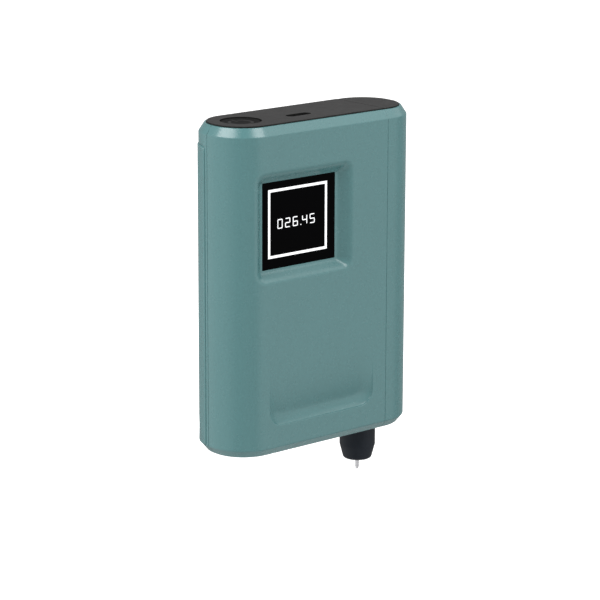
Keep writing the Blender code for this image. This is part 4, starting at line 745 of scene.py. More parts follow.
for grow, inset in rim_steps:
    flat = u_ring(cover_left - grow, COVER_LOW - grow, COVER_HIGH + grow, COVER_LOW_RADIUS + grow,
                  COVER_HIGH_RADIUS + grow, *cover_shares)
    cover_rings.append(on_body(flat, inset))
cover_rings.append(u_border(cover_inner))

low_row, high_row = (int(np.argmin(np.abs(cover_rows - z))) for z in TOUCH_GAP[2:])
low_column, high_column = (column_at(cover_along, along_rear(x)) for x in TOUCH_GAP[:2])
touch_block = cover_outer[low_row:high_row + 1, low_column:high_column + 1]
touch_shares = shares_of(touch_block[0, :, 0]), shares_of(touch_block[:, 0, 2])
touch_rings = [border_of(touch_block)]
for grow, radius, y in ((0.2, 4.2, REAR_FACE), (0.12, 4.12, 13.91), (0.12, 4.12, POCKET_Y)):
    touch_rings.append(upright(ring(grown(TOUCH, grow), radius, *touch_shares), y))
touch_rings += [upright(ring(box, 0, *touch_shares), POCKET_Y) for box in closing_boxes(TOUCH, 4)]
cover_patches = [(cover_outer, [(low_row, high_row, low_column, high_column)], False),
                 (cover_inner, None, False), (np.stack(cover_rings), None, False),
                 (np.stack(touch_rings), None, True)]
piece(to_mesh("rear_wrap_cover", cover_patches), "housing", "teal_plastic", "rear_cover")

# %% [markdown]
# The black plate in the top, its D-shaped end on the side cover, the screen window and the touch plate are
# flat pieces. A flat piece is an outline, moved in by an inset near its edge to round it, with its two faces
# filled between the outline and its holes.

# %% Flat pieces
SLAB_SHARP = 50.0


def slab(name, outlines, low, high, edge, lying=True, steps=3):
    """A flat piece between two levels, from outlines that give their points (a, b) for an inset.

    Each outline goes down its side in rings, and at both faces its inset and level follow a quarter circle.
    The faces between the outlines are filled with triangles. The levels are Z for a lying piece, whose
    outlines are (X, Y), and otherwise Y, with outlines (X, Z).
    """
    points, faces, tops, feet, start = [], [], [], [], 0
    turn = np.radians(np.linspace(0, 90, steps + 1))
    insets = np.concatenate([edge * (1 - np.sin(turn)), edge * (1 - np.sin(turn))[::-1]])
    levels = np.concatenate([high - edge * (1 - np.cos(turn)), low + edge * (1 - np.cos(turn))[::-1]])
    for outline in outlines:
        rings = [np.asarray(outline(inset), float) for inset in insets]
        count = len(rings[0])
        points += [xyz(*flat.T, level) if lying else upright(flat, level)
                   for flat, level in zip(rings, levels)]
        faces += rows_of_faces(len(rings), count, start, None, True).tolist()
        tops.append((start, rings[0]))
        feet.append((start + (len(rings) - 1) * count, rings[-1]))
        start += len(rings) * count
    for loops in (tops, feet):
        numbers = np.concatenate([first + np.arange(len(flat)) for first, flat in loops])
        triangles = tessellate_polygon([[Vector((a, b, 0)) for a, b in flat] for _, flat in loops])
        faces += [[int(numbers[i]) for i in triangle] for triangle in triangles]
    form, mesh = start_mesh(name, np.concatenate(points), faces)
    close_up(form, mesh, SLAB_SHARP)
    print(f"{name}: {len(mesh.polygons)} faces, levels {low} to {high}")
    return mesh


def round_hole(centre, radius, count=72):
    """A circle that grows by the inset, as a hole's border does."""
    turn = np.linspace(0, 2 * math.pi, count, endpoint=False)
    unit = np.stack([np.cos(turn), np.sin(turn)], 1)
    return lambda inset: np.array(centre) + unit * (radius + inset)


def box_outline(box, radius, hole=False):
    """A rounded rectangle, which grows by the inset when it is a hole and shrinks when it is an outside."""
    way = 1 if hole else -1
    return lambda inset: ring(grown(box, way * inset), max(radius + way * inset, 0.02), [], [])


PLATE_INSET, PLATE_END, D_START = 2.50, 23.22, 23.60


def plate_outline(cut_x, keeps_left):
    """The body's outline at the plate's inset, cut off square at an X and kept on one side of it."""
    ends = [along_rear(cut_x), side_end]
    if keeps_left:
        ends = [CORNER_X - cut_x, along_rear(cut_x)]
    bends = [np.linspace(stops[n - 1], stops[n], 33) for n in ((2, 4) if keeps_left else (6, 8))]
    along = np.concatenate([ends[:1], *bends, ends[1:]])

    def outline(inset):
        x, y = round_the_body(along, PLATE_INSET + inset)
        x[[0, -1]] = cut_x - inset if keeps_left else cut_x + inset
        return np.stack([x, y], 1)
    return outline


BUTTON_AT, PORT_AT, BUTTON_ROOM = (-25.7, 0.0), (-5.1, -3.1), 6.56
PORT_HALF, PORT_RADIUS = 4.7, 1.7
PLATE_LOW, PLATE_TOP, D_TOP, PLATE_EDGE = 50.6, 52.75, 52.69, 0.05
WINDOW_FACE, WINDOW_RADIUS = -9.45, 0.12
TOUCH_LOW, TOUCH_TOP, TOUCH_RADIUS, TOUCH_EDGE = 13.25, 13.87, 4.0, 0.12
slot_box = (PORT_AT[0] - PORT_HALF, PORT_AT[0] + PORT_HALF,
            PORT_AT[1] - PORT_RADIUS, PORT_AT[1] + PORT_RADIUS)
plate_outlines = [plate_outline(PLATE_END, True), round_hole(BUTTON_AT, BUTTON_ROOM),
                  box_outline(slot_box, PORT_RADIUS, hole=True)]
piece(slab("top_black_plate", plate_outlines, PLATE_LOW, PLATE_TOP, PLATE_EDGE),
      "housing", "black_plastic", "top_plate")
piece(slab("side_cover_black_end", [plate_outline(D_START, False)], PLATE_LOW, D_TOP, PLATE_EDGE),
      "cover", "black_plastic", "side_cover_top")
piece(slab("screen_window", [box_outline(WINDOW, WINDOW_RADIUS)], FLOOR_Y + WINDOW_LIP, WINDOW_FACE,
           PLATE_EDGE, lying=False), "housing", "screen_glass", "display_window")
piece(slab("touch_steel_plate", [box_outline(TOUCH, TOUCH_RADIUS)], TOUCH_LOW, TOUCH_TOP, TOUCH_EDGE,
           lying=False), "housing", "steel", "touch_plate")

# %% [markdown]
# The lit screen shows a thin square frame round a number of five digits. Every digit is made of up to seven
# straight bars, as on a simple numeric display, and each bar is a thin six-sided plate just in front of the
# window, because a real mesh stays crisp in every view.

# %% Lit frame and number
FRAME, FRAME_WIDTH = (-23.47, 0.50, 10.25, 32.10), 0.84
DIGIT_WIDE, DIGIT_TALL, DIGIT_STEP, STROKE = 1.75, 2.75, 3.10, 0.31
LIT_Y, LIT_THICKNESS = FLOOR_Y - 0.012, 0.03
READOUT, READOUT_START, READOUT_BASE = "026.45", -19.55, 19.5
POINT_HALF, POINT_BACK, POINT_ROOM, POINT_LIFT, BAR_TIP, BAR_SHOULDER = 0.17, 0.68, 0.7, 0.02, 0.2, 0.6
BARS_OF = {"0": "abcdef", "2": "abged", "4": "fgbc", "5": "afgcd", "6": "afgedc"}
BAR_ENDS = {"a": (0, 2, 1, 2), "b": (1, 2, 1, 1), "c": (1, 1, 1, 0), "d": (0, 0, 1, 0), "e": (0, 0, 0, 1),
            "f": (0, 1, 0, 2), "g": (0, 1, 1, 1)}


def bar(start, end):
    """A bar from start to end (x, z) with pointed ends, which reach a little beyond both."""
    way = (end - start) / np.linalg.norm(end - start)
    side = np.array([-way[1], way[0]]) * STROKE / 2
    tip, shoulder = way * STROKE / 2 * BAR_TIP, way * STROKE / 2 * BAR_SHOULDER
    return np.array([start - tip, start + side + shoulder, end + side - shoulder, end + tip,
                     end - side - shoulder, start - side + shoulder])


def digit_bars(digit, x, z):
    """The bars of one digit whose lower left corner is at (x, z), with ends in widths and half heights."""
    unit = np.array([DIGIT_WIDE, DIGIT_TALL / 2])
    ends = [np.array(BAR_ENDS[name]).reshape(2, 2) * unit + [x, z] for name in BARS_OF[digit]]
    return [bar(start, end) for start, end in ends]


def corners_of(box):
    """The four corners of a rectangle, once round."""
    return np.array([(box[0], box[2]), (box[1], box[2]), (box[1], box[3]), (box[0], box[3])])


outer, inner = corners_of(FRAME), corners_of(grown(FRAME, -FRAME_WIDTH))
lit_shapes = [np.array([outer[i - 4], outer[i - 3], inner[i - 3], inner[i - 4]]) for i in range(4)]
pen = READOUT_START
for mark in READOUT:
    if mark == ".":
        pen += POINT_ROOM
        point = [pen - POINT_BACK] * 2 + [READOUT_BASE + POINT_LIFT] * 2
        lit_shapes.append(corners_of(grown(point, POINT_HALF)))
    else:
        lit_shapes += digit_bars(mark, pen, READOUT_BASE)
        pen += DIGIT_STEP
lit_points, lit_faces = [], []
for shape in lit_shapes:
    first, count = len(lit_points), len(shape)
    lit_points += [(x, level, z) for level in (LIT_Y, LIT_Y - LIT_THICKNESS) for x, z in shape]
    lit_faces += [list(range(first + count, first + 2 * count)), list(range(first, first + count))[::-1]]
    lit_faces += [[first + i, first + (i + 1) % count, first + count + (i + 1) % count, first + count + i]
                  for i in range(count)]
form, lit_mesh = start_mesh("screen_readout", lit_points, lit_faces)
close_up(form, lit_mesh, 0.0)
readout = piece(lit_mesh, "housing", "display_glass", weighted=False)
print("lit shapes:", len(lit_shapes), "width of the number", round(pen - READOUT_START, 2), "mm")

# %% [markdown]
# The button, the probe's sleeve and its pin are turned: a profile of radius and height goes once round an
# axis. The sleeve is the dark nose that the probe comes out of, with a cone at its end.

# %% Turned pieces
PROBE_AT = (PROBE_X, 0.0)
BUTTON_TOP = 52.45
BUTTON_PROFILE = [
    (0, 49.25, 0), (7.5, 49.25, 0.1), (7.5, 50.45, 0.1), (6.3, 50.45, 0.05), (6.3, BUTTON_TOP, 0.35),
    (5.6, BUTTON_TOP, 0.5), (4.2, BUTTON_TOP - 0.24, 2.5), (0, BUTTON_TOP - 0.3, 0)]
SLEEVE_PROFILE = [
    (4.4, -44.85, 0), (5.8, -44.85, 0.15), (5.8, -48.45, 0), (7.3, -48.45, 0.1), (7.3, -50.45, 0.1),
    (5.9, -50.45, 0), (5.9, -60.9, 1.6), (4.6, -65.7, 0.9), (1.05, -65.7, 0.15), (1.05, -63.0, 0),
    (4.4, -63.0, 0)]
PIN_PROFILE = [
    (0, -41.1, 0), (1.0, -41.1, 0.2), (1.0, -59.8, 0), (2.4, -59.8, 0.1), (2.4, -61.4, 0.1),
    (0.6, -61.4, 0.05), (0.6, -68.8, 0.3), (0.25, -69.75, 0.12), (0, -69.8, 0)]


def turned(corners, centre, count=96, closed=False):
    """The patch of a profile carried round an upright axis; its corners are (radius, height, rounding)."""
    profile = softened(corners, closed=closed)
    if closed:
        profile = np.concatenate([profile, profile[:1]])
    turn = np.linspace(0, 2 * math.pi, count, endpoint=False)
    radius, height = profile[:, :1], profile[:, 1:]
    x, y = centre[0] + radius * np.cos(turn), centre[1] + radius * np.sin(turn)
    return xyz(x, y, height), None, True


piece(to_mesh("round_power_button", [turned(BUTTON_PROFILE, BUTTON_AT)]),
      "button", "button_plastic", "power_button")
piece(to_mesh("probe_nose_sleeve", [turned(SLEEVE_PROFILE, PROBE_AT, closed=True)]),
      "housing", "nose_plastic", "probe_sleeve")
piece(to_mesh("probe_contact_pin", [turned(PIN_PROFILE, PROBE_AT, 48)]), "probe", "steel", "probe_pin")

# %% [markdown]
# Inside the barrel a coil spring stands on the pin's shoulder and pushes the pin down. Wound springs have
# closed turns at both ends, so that they stand straight. Here a circle is carried along a helix whose pitch
# is small at the ends, from the foot to the top of the imported spring.

# %% Return spring
SPRING_RADIUS, WIRE_RADIUS, SPRING_TURNS, OPEN_PITCH, SPRING_FOOT = 2.0, 0.25, 8, 4.1, 0.5
spring_low, spring_high = (corner[2] * 1000 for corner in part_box("probe_spring"))


def coil(low, high, points_per_turn=28, wire_points=12):
    """The patch of a wire wound into a spring between two heights.

    The centre of the wire goes round at the spring's radius, and its height is the running sum of the pitch,
    which is 1 over the end turns and OPEN_PITCH over the middle ones. A circle stands square to the wire.
    """
    turns = np.linspace(0, SPRING_TURNS, SPRING_TURNS * points_per_turn + 1)
    ends = [0, 0.8, 1.5, SPRING_TURNS - 1.5, SPRING_TURNS - 0.8, SPRING_TURNS]
    pitch = np.interp(turns, ends, [1, 1, OPEN_PITCH, OPEN_PITCH, 1, 1])
    climb = np.concatenate([[0], np.cumsum((pitch[1:] + pitch[:-1]) / 2)])
    height = low + WIRE_RADIUS + (high - low - 2 * WIRE_RADIUS) * climb / climb[-1]
    angle = 2 * math.pi * turns
    lead = np.arctan2(np.gradient(height), np.gradient(angle) * SPRING_RADIUS)
    outward = xyz(np.cos(angle), np.sin(angle), 0)
    upward = xyz(np.sin(angle) * np.sin(lead), -np.cos(angle) * np.sin(lead), np.cos(lead))
    middle = outward * SPRING_RADIUS + xyz(PROBE_X, 0, height)
    around = np.linspace(0, 2 * math.pi, wire_points, endpoint=False)[None, :, None]
    circle = WIRE_RADIUS * (np.cos(around) * outward[:, None] + np.sin(around) * upward[:, None])
    return middle[:, None] + circle, None, True


spring = add_object("probe_return_spring", to_mesh("probe_return_spring", [coil(spring_low, spring_high)]))
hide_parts("probe_spring")
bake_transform(spring)
finishes[spring.name] = "spring_steel"

# %% [markdown]
# The camera stands where the photographer's did: about 40 degrees round to the left and 15 degrees above.
# Its place was worked out from the straight edges in the photograph.

# %% Camera
PITCH, YAW, ROLL = math.radians(14.045), math.radians(40.165), math.radians(0.170)
CAMERA_AWAY, CAMERA_RIGHT, CAMERA_UP, CAMERA_LIFT = 856.496, 1.209, 8.520, 0.25
ahead = np.array([math.sin(YAW) * math.cos(PITCH), math.cos(YAW) * math.cos(PITCH), -math.sin(PITCH)])
level_right = np.array([math.cos(YAW), -math.sin(YAW), 0])
level_up = np.cross(level_right, ahead)
right = math.cos(ROLL) * level_right + math.sin(ROLL) * level_up
up = -math.sin(ROLL) * level_right + math.cos(ROLL) * level_up
eye = -ahead * CAMERA_AWAY - right * CAMERA_RIGHT - up * CAMERA_UP + [0, 0, CAMERA_LIFT]
lens = bpy.data.cameras.new("photo_camera")
lens.lens, lens.sensor_width = 160.72, 36.0
lens.clip_start, lens.clip_end = 0.01, 20
camera = add_object("photo_camera", lens)
facing = Matrix(np.stack([right, up, -ahead], axis=1).tolist()).to_4x4()
camera.matrix_world = Matrix.Translation(in_metres([eye])[0]) @ facing
bpy.context.scene.camera = camera
print("camera", [round(v, 4) for v in camera.matrix_world.translation])

# %% [markdown]
# A finish is a graph of nodes. These helpers add a node, link or set its inputs, and write the usual steps
# of arithmetic in one line each.

# %% Node helpers
def fill(tree, socket, value):
    """Links an output to a socket, or sets the socket's value."""
    if isinstance(value, bpy.types.NodeSocket):
        tree.links.new(value, socket)
    else:
        socket.default_value = value


def add_node(tree, kind, inputs=None, **settings):
    """A node with its settings, and with its inputs linked or set by name or number."""
    made = tree.nodes.new("ShaderNode" + kind)
    for key, value in settings.items():
        setattr(made, key, value)
    for key, value in (inputs or {}).items():
        fill(tree, made.inputs[key], value)
    return made


def worked_out(tree, operation, *values, clamp=False):
    """The result of one arithmetic step."""
    return add_node(tree, "Math", dict(enumerate(values)), operation=operation, use_clamp=clamp).outputs[0]


def plus(tree, first, second, clamp=False):
    """One value plus another."""
    return worked_out(tree, "ADD", first, second, clamp=clamp)


def times(tree, first, second, clamp=False):
    """One value times another."""
    return worked_out(tree, "MULTIPLY", first, second, clamp=clamp)


def off_from(tree, value, level):
    """How far a value is from a level, on either side."""
    return worked_out(tree, "ABSOLUTE", worked_out(tree, "SUBTRACT", value, level))


def under(tree, value, limit):
    """1 where a value is under a limit, and otherwise 0."""
    return worked_out(tree, "LESS_THAN", value, limit)


def lanes(tree, value, per_metre):
    """How far across its lane a place lies, from 0 to 1, with so many lanes to a metre."""
    return worked_out(tree, "FRACT", times(tree, value, per_metre))


def between(tree, value, low, high, to_low=0.0, to_high=1.0, smooth=True):
    """A value stretched from one range to another, held at both ends."""
    return add_node(tree, "MapRange", {0: value, 1: low, 2: high, 3: to_low, 4: to_high},
                    interpolation_type="SMOOTHSTEP" if smooth else "LINEAR").outputs[0]


def mixed(tree, share, first, second):
    """A colour between two, each linked or given as red, green and blue."""
    ends = [end if isinstance(end, bpy.types.NodeSocket) else (*end, 1.0) for end in (first, second)]
    return add_node(tree, "Mix", {0: share, 6: ends[0], 7: ends[1]}, data_type="RGBA").outputs[2]


def noise(tree, place, scale, detail=3.0, rough=0.6):
    """The grey value of a noise over a place, with its scale in waves to a metre."""
    return add_node(tree, "TexNoise", {"Vector": place, "Scale": scale, "Detail": detail,
                                       "Roughness": rough}).outputs[0]


def parts_of(tree, vector):
    """The three parts of a vector."""
    return add_node(tree, "SeparateXYZ", {0: vector}).outputs


def own_place(tree):
    """The object's own coordinates, in metres."""
    return add_node(tree, "TexCoord").outputs["Object"]


def facing_up(tree):
    """The upward part of the way a surface faces: 1 on a level top and 0 on an upright wall."""
    return parts_of(tree, add_node(tree, "NewGeometry").outputs["Normal"])[2]


def new_group(name, inputs, outputs):
    """An empty node group with named number inputs (with defaults) and named number outputs."""
    tree = bpy.data.node_groups.new(name, "ShaderNodeTree")
    for key, value in inputs.items():
        tree.interface.new_socket(key, in_out="INPUT", socket_type="NodeSocketFloat").default_value = value
    for key in outputs:
        tree.interface.new_socket(key, in_out="OUTPUT", socket_type="NodeSocketFloat")
    return tree, tree.nodes.new("NodeGroupInput").outputs, tree.nodes.new("NodeGroupOutput").inputs


# %% [markdown]
# Every finish on the tester is moulded plastic, metal, glass, foil or resin. Each has some grain, some
# unevenness of gloss and colour, paler edges where it has been handled, and a little dust on top. These
# shared effects are built once as node groups, which give out masks and heights, and each material sets
# its own amounts.

# %% Shared effects
MIDDLE_GREY, FLAT_EDGE = 0.5, 0.505

grain_tree, given, out = new_group("moulded_grain", {"Grain": 2600.0}, ["Height", "Gloss", "Shade"])
spot = own_place(grain_tree)
coarse = noise(grain_tree, spot, times(grain_tree, given["Grain"], 0.12))
flow = noise(grain_tree, spot, 38.0, 2.0, 0.5)
fill(grain_tree, out["Height"], noise(grain_tree, spot, given["Grain"], 2.0, 0.55))
fill(grain_tree, out["Gloss"], worked_out(grain_tree, "SUBTRACT", coarse, MIDDLE_GREY))
fill(grain_tree, out["Shade"], worked_out(grain_tree, "SUBTRACT", flow, MIDDLE_GREY))

wear_tree, given, out = new_group("edge_wear", {"Amount": 0.5, "Sharpness": 0.06}, ["Mask"])
point = add_node(wear_tree, "NewGeometry").outputs["Pointiness"]
edge = between(wear_tree, point, FLAT_EDGE, plus(wear_tree, FLAT_EDGE, given["Sharpness"]))
broken = between(wear_tree, noise(wear_tree, own_place(wear_tree), 420.0, 4.0, 0.7), 0.35, 0.62)
fill(wear_tree, out["Mask"], times(wear_tree, times(wear_tree, edge, broken), given["Amount"], clamp=True))

dust_tree, given, out = new_group("settled_dust", {"Amount": 0.1}, ["Mask"])
spot = own_place(dust_tree)
lying = between(dust_tree, facing_up(dust_tree), 0.35, 0.95)
specks = between(dust_tree, noise(dust_tree, spot, 1900.0, 5.0, 0.75), 0.58, 0.72)
film = between(dust_tree, noise(dust_tree, spot, 120.0), 0.35, 0.75)
dusty = plus(dust_tree, times(dust_tree, specks, 0.7), times(dust_tree, film, 0.3))
fill(dust_tree, out["Mask"], times(dust_tree, times(dust_tree, lying, dusty), given["Amount"], clamp=True))

brush_tree, given, out = new_group("brushed_lines", {"Across": 9000.0, "Along": 300.0}, ["Height", "Gloss"])
stretch = add_node(brush_tree, "CombineXYZ", {0: given["Along"], 1: given["Along"], 2: given["Across"]})
lined = add_node(brush_tree, "VectorMath", {0: own_place(brush_tree), 1: stretch.outputs[0]},
                 operation="MULTIPLY")
lines = noise(brush_tree, lined.outputs[0], 1.0)
fill(brush_tree, out["Height"], lines)
fill(brush_tree, out["Gloss"], worked_out(brush_tree, "SUBTRACT", lines, MIDDLE_GREY))
print("node groups:", [g.name for g in bpy.data.node_groups])

# %% [markdown]
# Most finishes differ only in their numbers: a colour, how far the colour drifts, a roughness, the grain's
# size and depth, how much the edges pale and how much dust lies on top. One function makes them all, and a
# finish with a pattern of its own, such as the circuit board, hands it a function that paints the colour.

# %% One finish
DUST_COLOUR, DUST_DULLS = (0.33, 0.32, 0.30), 0.3
SHADE_SPAN, PLAIN_SHADE, PAINTED_SHADE = 0.22, 0.5, 0.12
BUMP_STRENGTH, RAISED_DEPTH, WORN_GAIN, WORN_LIFT = 0.6, 0.00006, 1.5, 0.05


def start_look(slot):
    """A new material for a slot: its tree, its shader and the object's own coordinates."""
    look = bpy.data.materials.new(slot + "_look")
    look.use_nodes = True
    tree = look.node_tree
    return look, tree, tree.nodes["Principled BSDF"], own_place(tree)


def finish(slot, colour, rough, grain=2600.0, depth=0.012, drift=0.06, gloss=0.25, wear=0.25, dust=0.12,
           metal=0.0, specular=0.5, painted=None, lines=None, raised=None):
    """Fills in a material: colour with drift, worn edges and dust, roughness with uneven gloss, and relief.

    depth is the grain's height in millimetres. painted is a function of the tree and the coordinates that
    gives a colour, and raised one that gives a height; lines are the brushed lines across and along.
    """
    _, tree, shader, spot = start_look(slot)
    grained = add_node(tree, "Group", {"Grain": grain}, node_tree=grain_tree).outputs
    worn = add_node(tree, "Group", {"Amount": wear}, node_tree=wear_tree).outputs["Mask"]
    dusted = add_node(tree, "Group", {"Amount": dust}, node_tree=dust_tree).outputs["Mask"]
    share = between(tree, grained["Shade"], -SHADE_SPAN, SHADE_SPAN, 0.0,
                    PAINTED_SHADE if painted else PLAIN_SHADE)
    base = painted(tree, spot) if painted else colour
    toned = mixed(tree, share, base, [c * (1 - drift * 2) for c in colour])
    edged = mixed(tree, worn, toned, [min(c * WORN_GAIN + WORN_LIFT, 1.0) for c in colour])
    fill(tree, shader.inputs["Base Color"], mixed(tree, dusted, edged, DUST_COLOUR))
    relief = grained
    if lines:
        relief = add_node(tree, "Group", {"Across": lines[0], "Along": lines[1]},
                          node_tree=brush_tree).outputs
    uneven = times(tree, relief["Gloss"], gloss)
    dulled = plus(tree, plus(tree, uneven, rough), times(tree, dusted, DUST_DULLS), clamp=True)
    fill(tree, shader.inputs["Roughness"], dulled)
    normal = add_node(tree, "Bump", {"Height": relief["Height"], "Strength": BUMP_STRENGTH,
                                     "Distance": depth * 0.001}).outputs[0]
    if raised:
        normal = add_node(tree, "Bump", {"Height": raised(tree, spot), "Distance": RAISED_DEPTH,
                                         "Normal": normal}).outputs[0]
    fill(tree, shader.inputs["Normal"], normal)
    shader.inputs["Metallic"].default_value = metal
    shader.inputs["Specular IOR Level"].default_value = specular


# %% [markdown]
# The button carries a plain standby mark, which would be printed in grey. The black pieces carry painted
# shade: their sides are painted darker than their tops, and a painted shadow darkens a line along the side
# cover's seam on top.
# The steel has fine level lines, which turning and brushing leave.

# %% Plastics, glass and metals
RING_RADIUS, RING_HALF, RING_GAP = 0.0036, 0.00045, 0.0014
BAR_MIDDLE, BAR_REACH, BAR_HALF = 0.0030, 0.0015, 0.00030
# Painted shade on the black pieces: a darker black on their sides, and a painted shadow in a strip along the
# top seam, from a height upwards.
TOP_SEAM_X, SEAM_SHADOW_WIDTH, SEAM_SHADOW_FROM = (PLATE_END + D_START) / 2, 0.36, 50.0
BUTTON_BLACK, SHADOW_BLACK, PLATE_BLACK = (0.008,) * 3, (0.004,) * 3, (0.016, 0.0155, 0.0155)
MARK_GREY = (0.034,) * 3


def standby_mark(tree, spot):
    """A pale ring with a gap and a short bar, worked out from the distance to the button's middle."""
    middle = (BUTTON_AT[0] * 0.001, -REAR_FACE * 0.001, 0)
    centred = add_node(tree, "VectorMath", {0: spot, 1: middle}, operation="SUBTRACT")
    parts = parts_of(tree, centred.outputs[0])
    flat = add_node(tree, "CombineXYZ", {0: parts[0], 1: parts[1]}).outputs[0]
    away = add_node(tree, "VectorMath", {0: flat}, operation="LENGTH").outputs["Value"]
    on_ring = under(tree, off_from(tree, away, RING_RADIUS), RING_HALF)
    sideways = worked_out(tree, "ABSOLUTE", parts[0])
    opening = times(tree, under(tree, sideways, RING_GAP), worked_out(tree, "GREATER_THAN", parts[1], 0.0))
    ringed = times(tree, on_ring, worked_out(tree, "SUBTRACT", 1.0, opening))
    on_bar = times(tree, under(tree, sideways, BAR_HALF),
                   under(tree, off_from(tree, parts[1], BAR_MIDDLE), BAR_REACH))
    return mixed(tree, worked_out(tree, "MAXIMUM", ringed, on_bar), BUTTON_BLACK, MARK_GREY)


def black_with_painted_shade(tree, spot):
    """Black with painted shade: darker on its sides than on its top, and a painted shadow in a strip along
    the top seam.
    """
    parts = parts_of(tree, spot)
    # The strip along the seam is a painted shadow, and the sides that don't face up are painted in shade.
    off_seam = off_from(tree, parts[0], TOP_SEAM_X * 0.001)
    clear_of_seam = between(tree, off_seam, SEAM_SHADOW_WIDTH * 0.0007, SEAM_SHADOW_WIDTH * 0.001)
    below_plate = under(tree, parts[2], SEAM_SHADOW_FROM * 0.001)
    left_unshaded = times(tree, between(tree, facing_up(tree), 0.4, 0.9),
                     worked_out(tree, "MAXIMUM", clear_of_seam, below_plate))
    return mixed(tree, left_unshaded, SHADOW_BLACK, PLATE_BLACK)


# The numbers are roughness, grain, depth, drift, gloss, wear and dust.
finish("teal_plastic", (0.071, 0.183, 0.188), 0.27, 3000, 0.0016, 0.02, 0.05, 0.12, 0.02, specular=0.6)
# The black plastic's sides and the strip along its seam carry painted shade.
finish("black_plastic", PLATE_BLACK, 0.50, 3400, 0.010, 0.05, 0.15, 0.12, 0.04, specular=0.23,
       painted=black_with_painted_shade)
finish("button_plastic", BUTTON_BLACK, 0.55, 3000, 0.008, 0.05, 0.15, 0.10, 0.02, specular=0.03,
       painted=standby_mark)
finish("nose_plastic", (0.013, 0.0172, 0.024), 0.42, 2800, 0.006, 0.05, 0.15, 0.15, 0.05, specular=0.15)
finish("screen_glass", (0.0006, 0.0006, 0.0008), 0.07, 900, 0.0004, 0.0, 0.05, 0.0, 0.003, specular=0.015)
finish("display_glass", (0.012, 0.012, 0.016), 0.12, 1200, 0.001, 0.0, 0.06, 0.05, 0.05)
finish("steel", (0.60, 0.60, 0.62), 0.27, 2600, 0.003, 0.06, 0.3, 0.2, 0.05, metal=1.0, lines=(9000, 400))
finish("spring_steel", (0.46, 0.46, 0.48), 0.32, 2600, 0.003, 0.06, 0.3, 0.1, 0.03, metal=1.0,
       lines=(5000, 5000))
finish("brass", (0.66, 0.46, 0.19), 0.25, 3000, 0.002, 0.1, 0.2, 0.15, 0.02, metal=1.0)
finish("chip_resin", (0.014, 0.014, 0.015), 0.55, 6000, 0.012, 0.1, 0.2, 0.2, 0.05)
finish("ivory_nylon", (0.60, 0.56, 0.45), 0.45, 2500, 0.006, 0.05, 0.15, 0.1, 0.05)
finish("ceramic", (0.66, 0.64, 0.60), 0.6, 5000, 0.008, 0.05, 0.2, 0.1, 0.03)
finish("foam", (0.045, 0.045, 0.050), 0.9, 2200, 0.20, 0.2, 0.1, 0.0, 0.1)
finish("red_insulation", (0.42, 0.020, 0.015), 0.42, 2500, 0.004, 0.06, 0.15, 0.1, 0.05)
finish("black_insulation", (0.014, 0.014, 0.014), 0.45, 2500, 0.004, 0.06, 0.15, 0.1, 0.05)
finish("grey_insulation", (0.16, 0.16, 0.17), 0.45, 2500, 0.004, 0.06, 0.15, 0.1, 0.05)


# %% [markdown]
# Three finishes have patterns of their own. The circuit board has paler copper runs under its green resist,
# the cell's foil is wrinkled, and the display's ribbon has fine conductors along its length.

# %% Board, foil and ribbon
BLOCKS_PER_METRE, RUNS_PER_METRE, CONDUCTORS_PER_METRE = 190.0, 1100.0, 2000.0
AMBER = (0.50, 0.20, 0.03)


def board_colour(tree, spot):
    """Green resist with paler runs: a grid of narrow lanes, broken up by larger cells."""
    cells = add_node(tree, "TexVoronoi", {"Vector": spot, "Scale": BLOCKS_PER_METRE}, feature="F1",
                     distance="MANHATTAN").outputs["Color"]
    red = add_node(tree, "SeparateColor", {0: cells}).outputs[0]
    parts = parts_of(tree, spot)
    ways = {0: worked_out(tree, "GREATER_THAN", red, 0.5), 2: lanes(tree, parts[0], RUNS_PER_METRE),
            3: lanes(tree, parts[2], RUNS_PER_METRE)}
    run = under(tree, add_node(tree, "Mix", ways).outputs[0], 0.4)
    return mixed(tree, times(tree, run, 0.55), (0.008, 0.070, 0.030), (0.030, 0.170, 0.065))


def foil_height(tree, spot):
    """Wrinkles: a noise folded at its middle value, which leaves sharp creases."""
    return off_from(tree, noise(tree, spot, 260.0, 4.0, 0.55), MIDDLE_GREY)


def ribbon_colour(tree, spot):
    """Amber film with copper conductors at an even pitch across it."""
    lane = lanes(tree, parts_of(tree, spot)[0], CONDUCTORS_PER_METRE)
    return mixed(tree, under(tree, lane, 0.5), AMBER, (0.62, 0.33, 0.10))


finish("circuit_board", (0.010, 0.080, 0.034), 0.32, 3000, 0.004, 0.05, 0.15, 0.2, 0.05,
       painted=board_colour)
finish("battery_foil", (0.42, 0.44, 0.47), 0.30, 1800, 0.004, 0.05, 0.3, 0.1, 0.04, metal=0.9,
       raised=foil_height)
finish("amber_film", AMBER, 0.2, 2000, 0.001, 0.05, 0.1, 0.0, 0.03, painted=ribbon_colour)

# %% [markdown]
# The lit bars glow evenly, with the fine raster of the display's cells in them. Then every node of the packed
# model and every new piece gets the finish of its slot.

# %% The glow, and every finish on its piece
CELLS_PER_METRE, GLOW = 8000.0, 0.62
glow, tree, shader, spot = start_look("readout")
parts = parts_of(tree, spot)
cells = [off_from(tree, lanes(tree, parts[i], CELLS_PER_METRE), 0.5) for i in (0, 2)]
raster = between(tree, worked_out(tree, "MAXIMUM", *cells), 0.36, 0.50)
fill(tree, shader.inputs["Emission Color"], mixed(tree, raster, (1.0, 1.0, 1.0), (0.78, 0.80, 0.82)))
fill(tree, shader.inputs["Base Color"], mixed(tree, raster, (0.70, 0.71, 0.72), (0.50, 0.51, 0.52)))
fill(tree, shader.inputs["Roughness"], between(tree, raster, 0.0, 1.0, 0.30, 0.42, smooth=False))
shader.inputs["Emission Strength"].default_value = GLOW
readout.data.materials.append(glow)

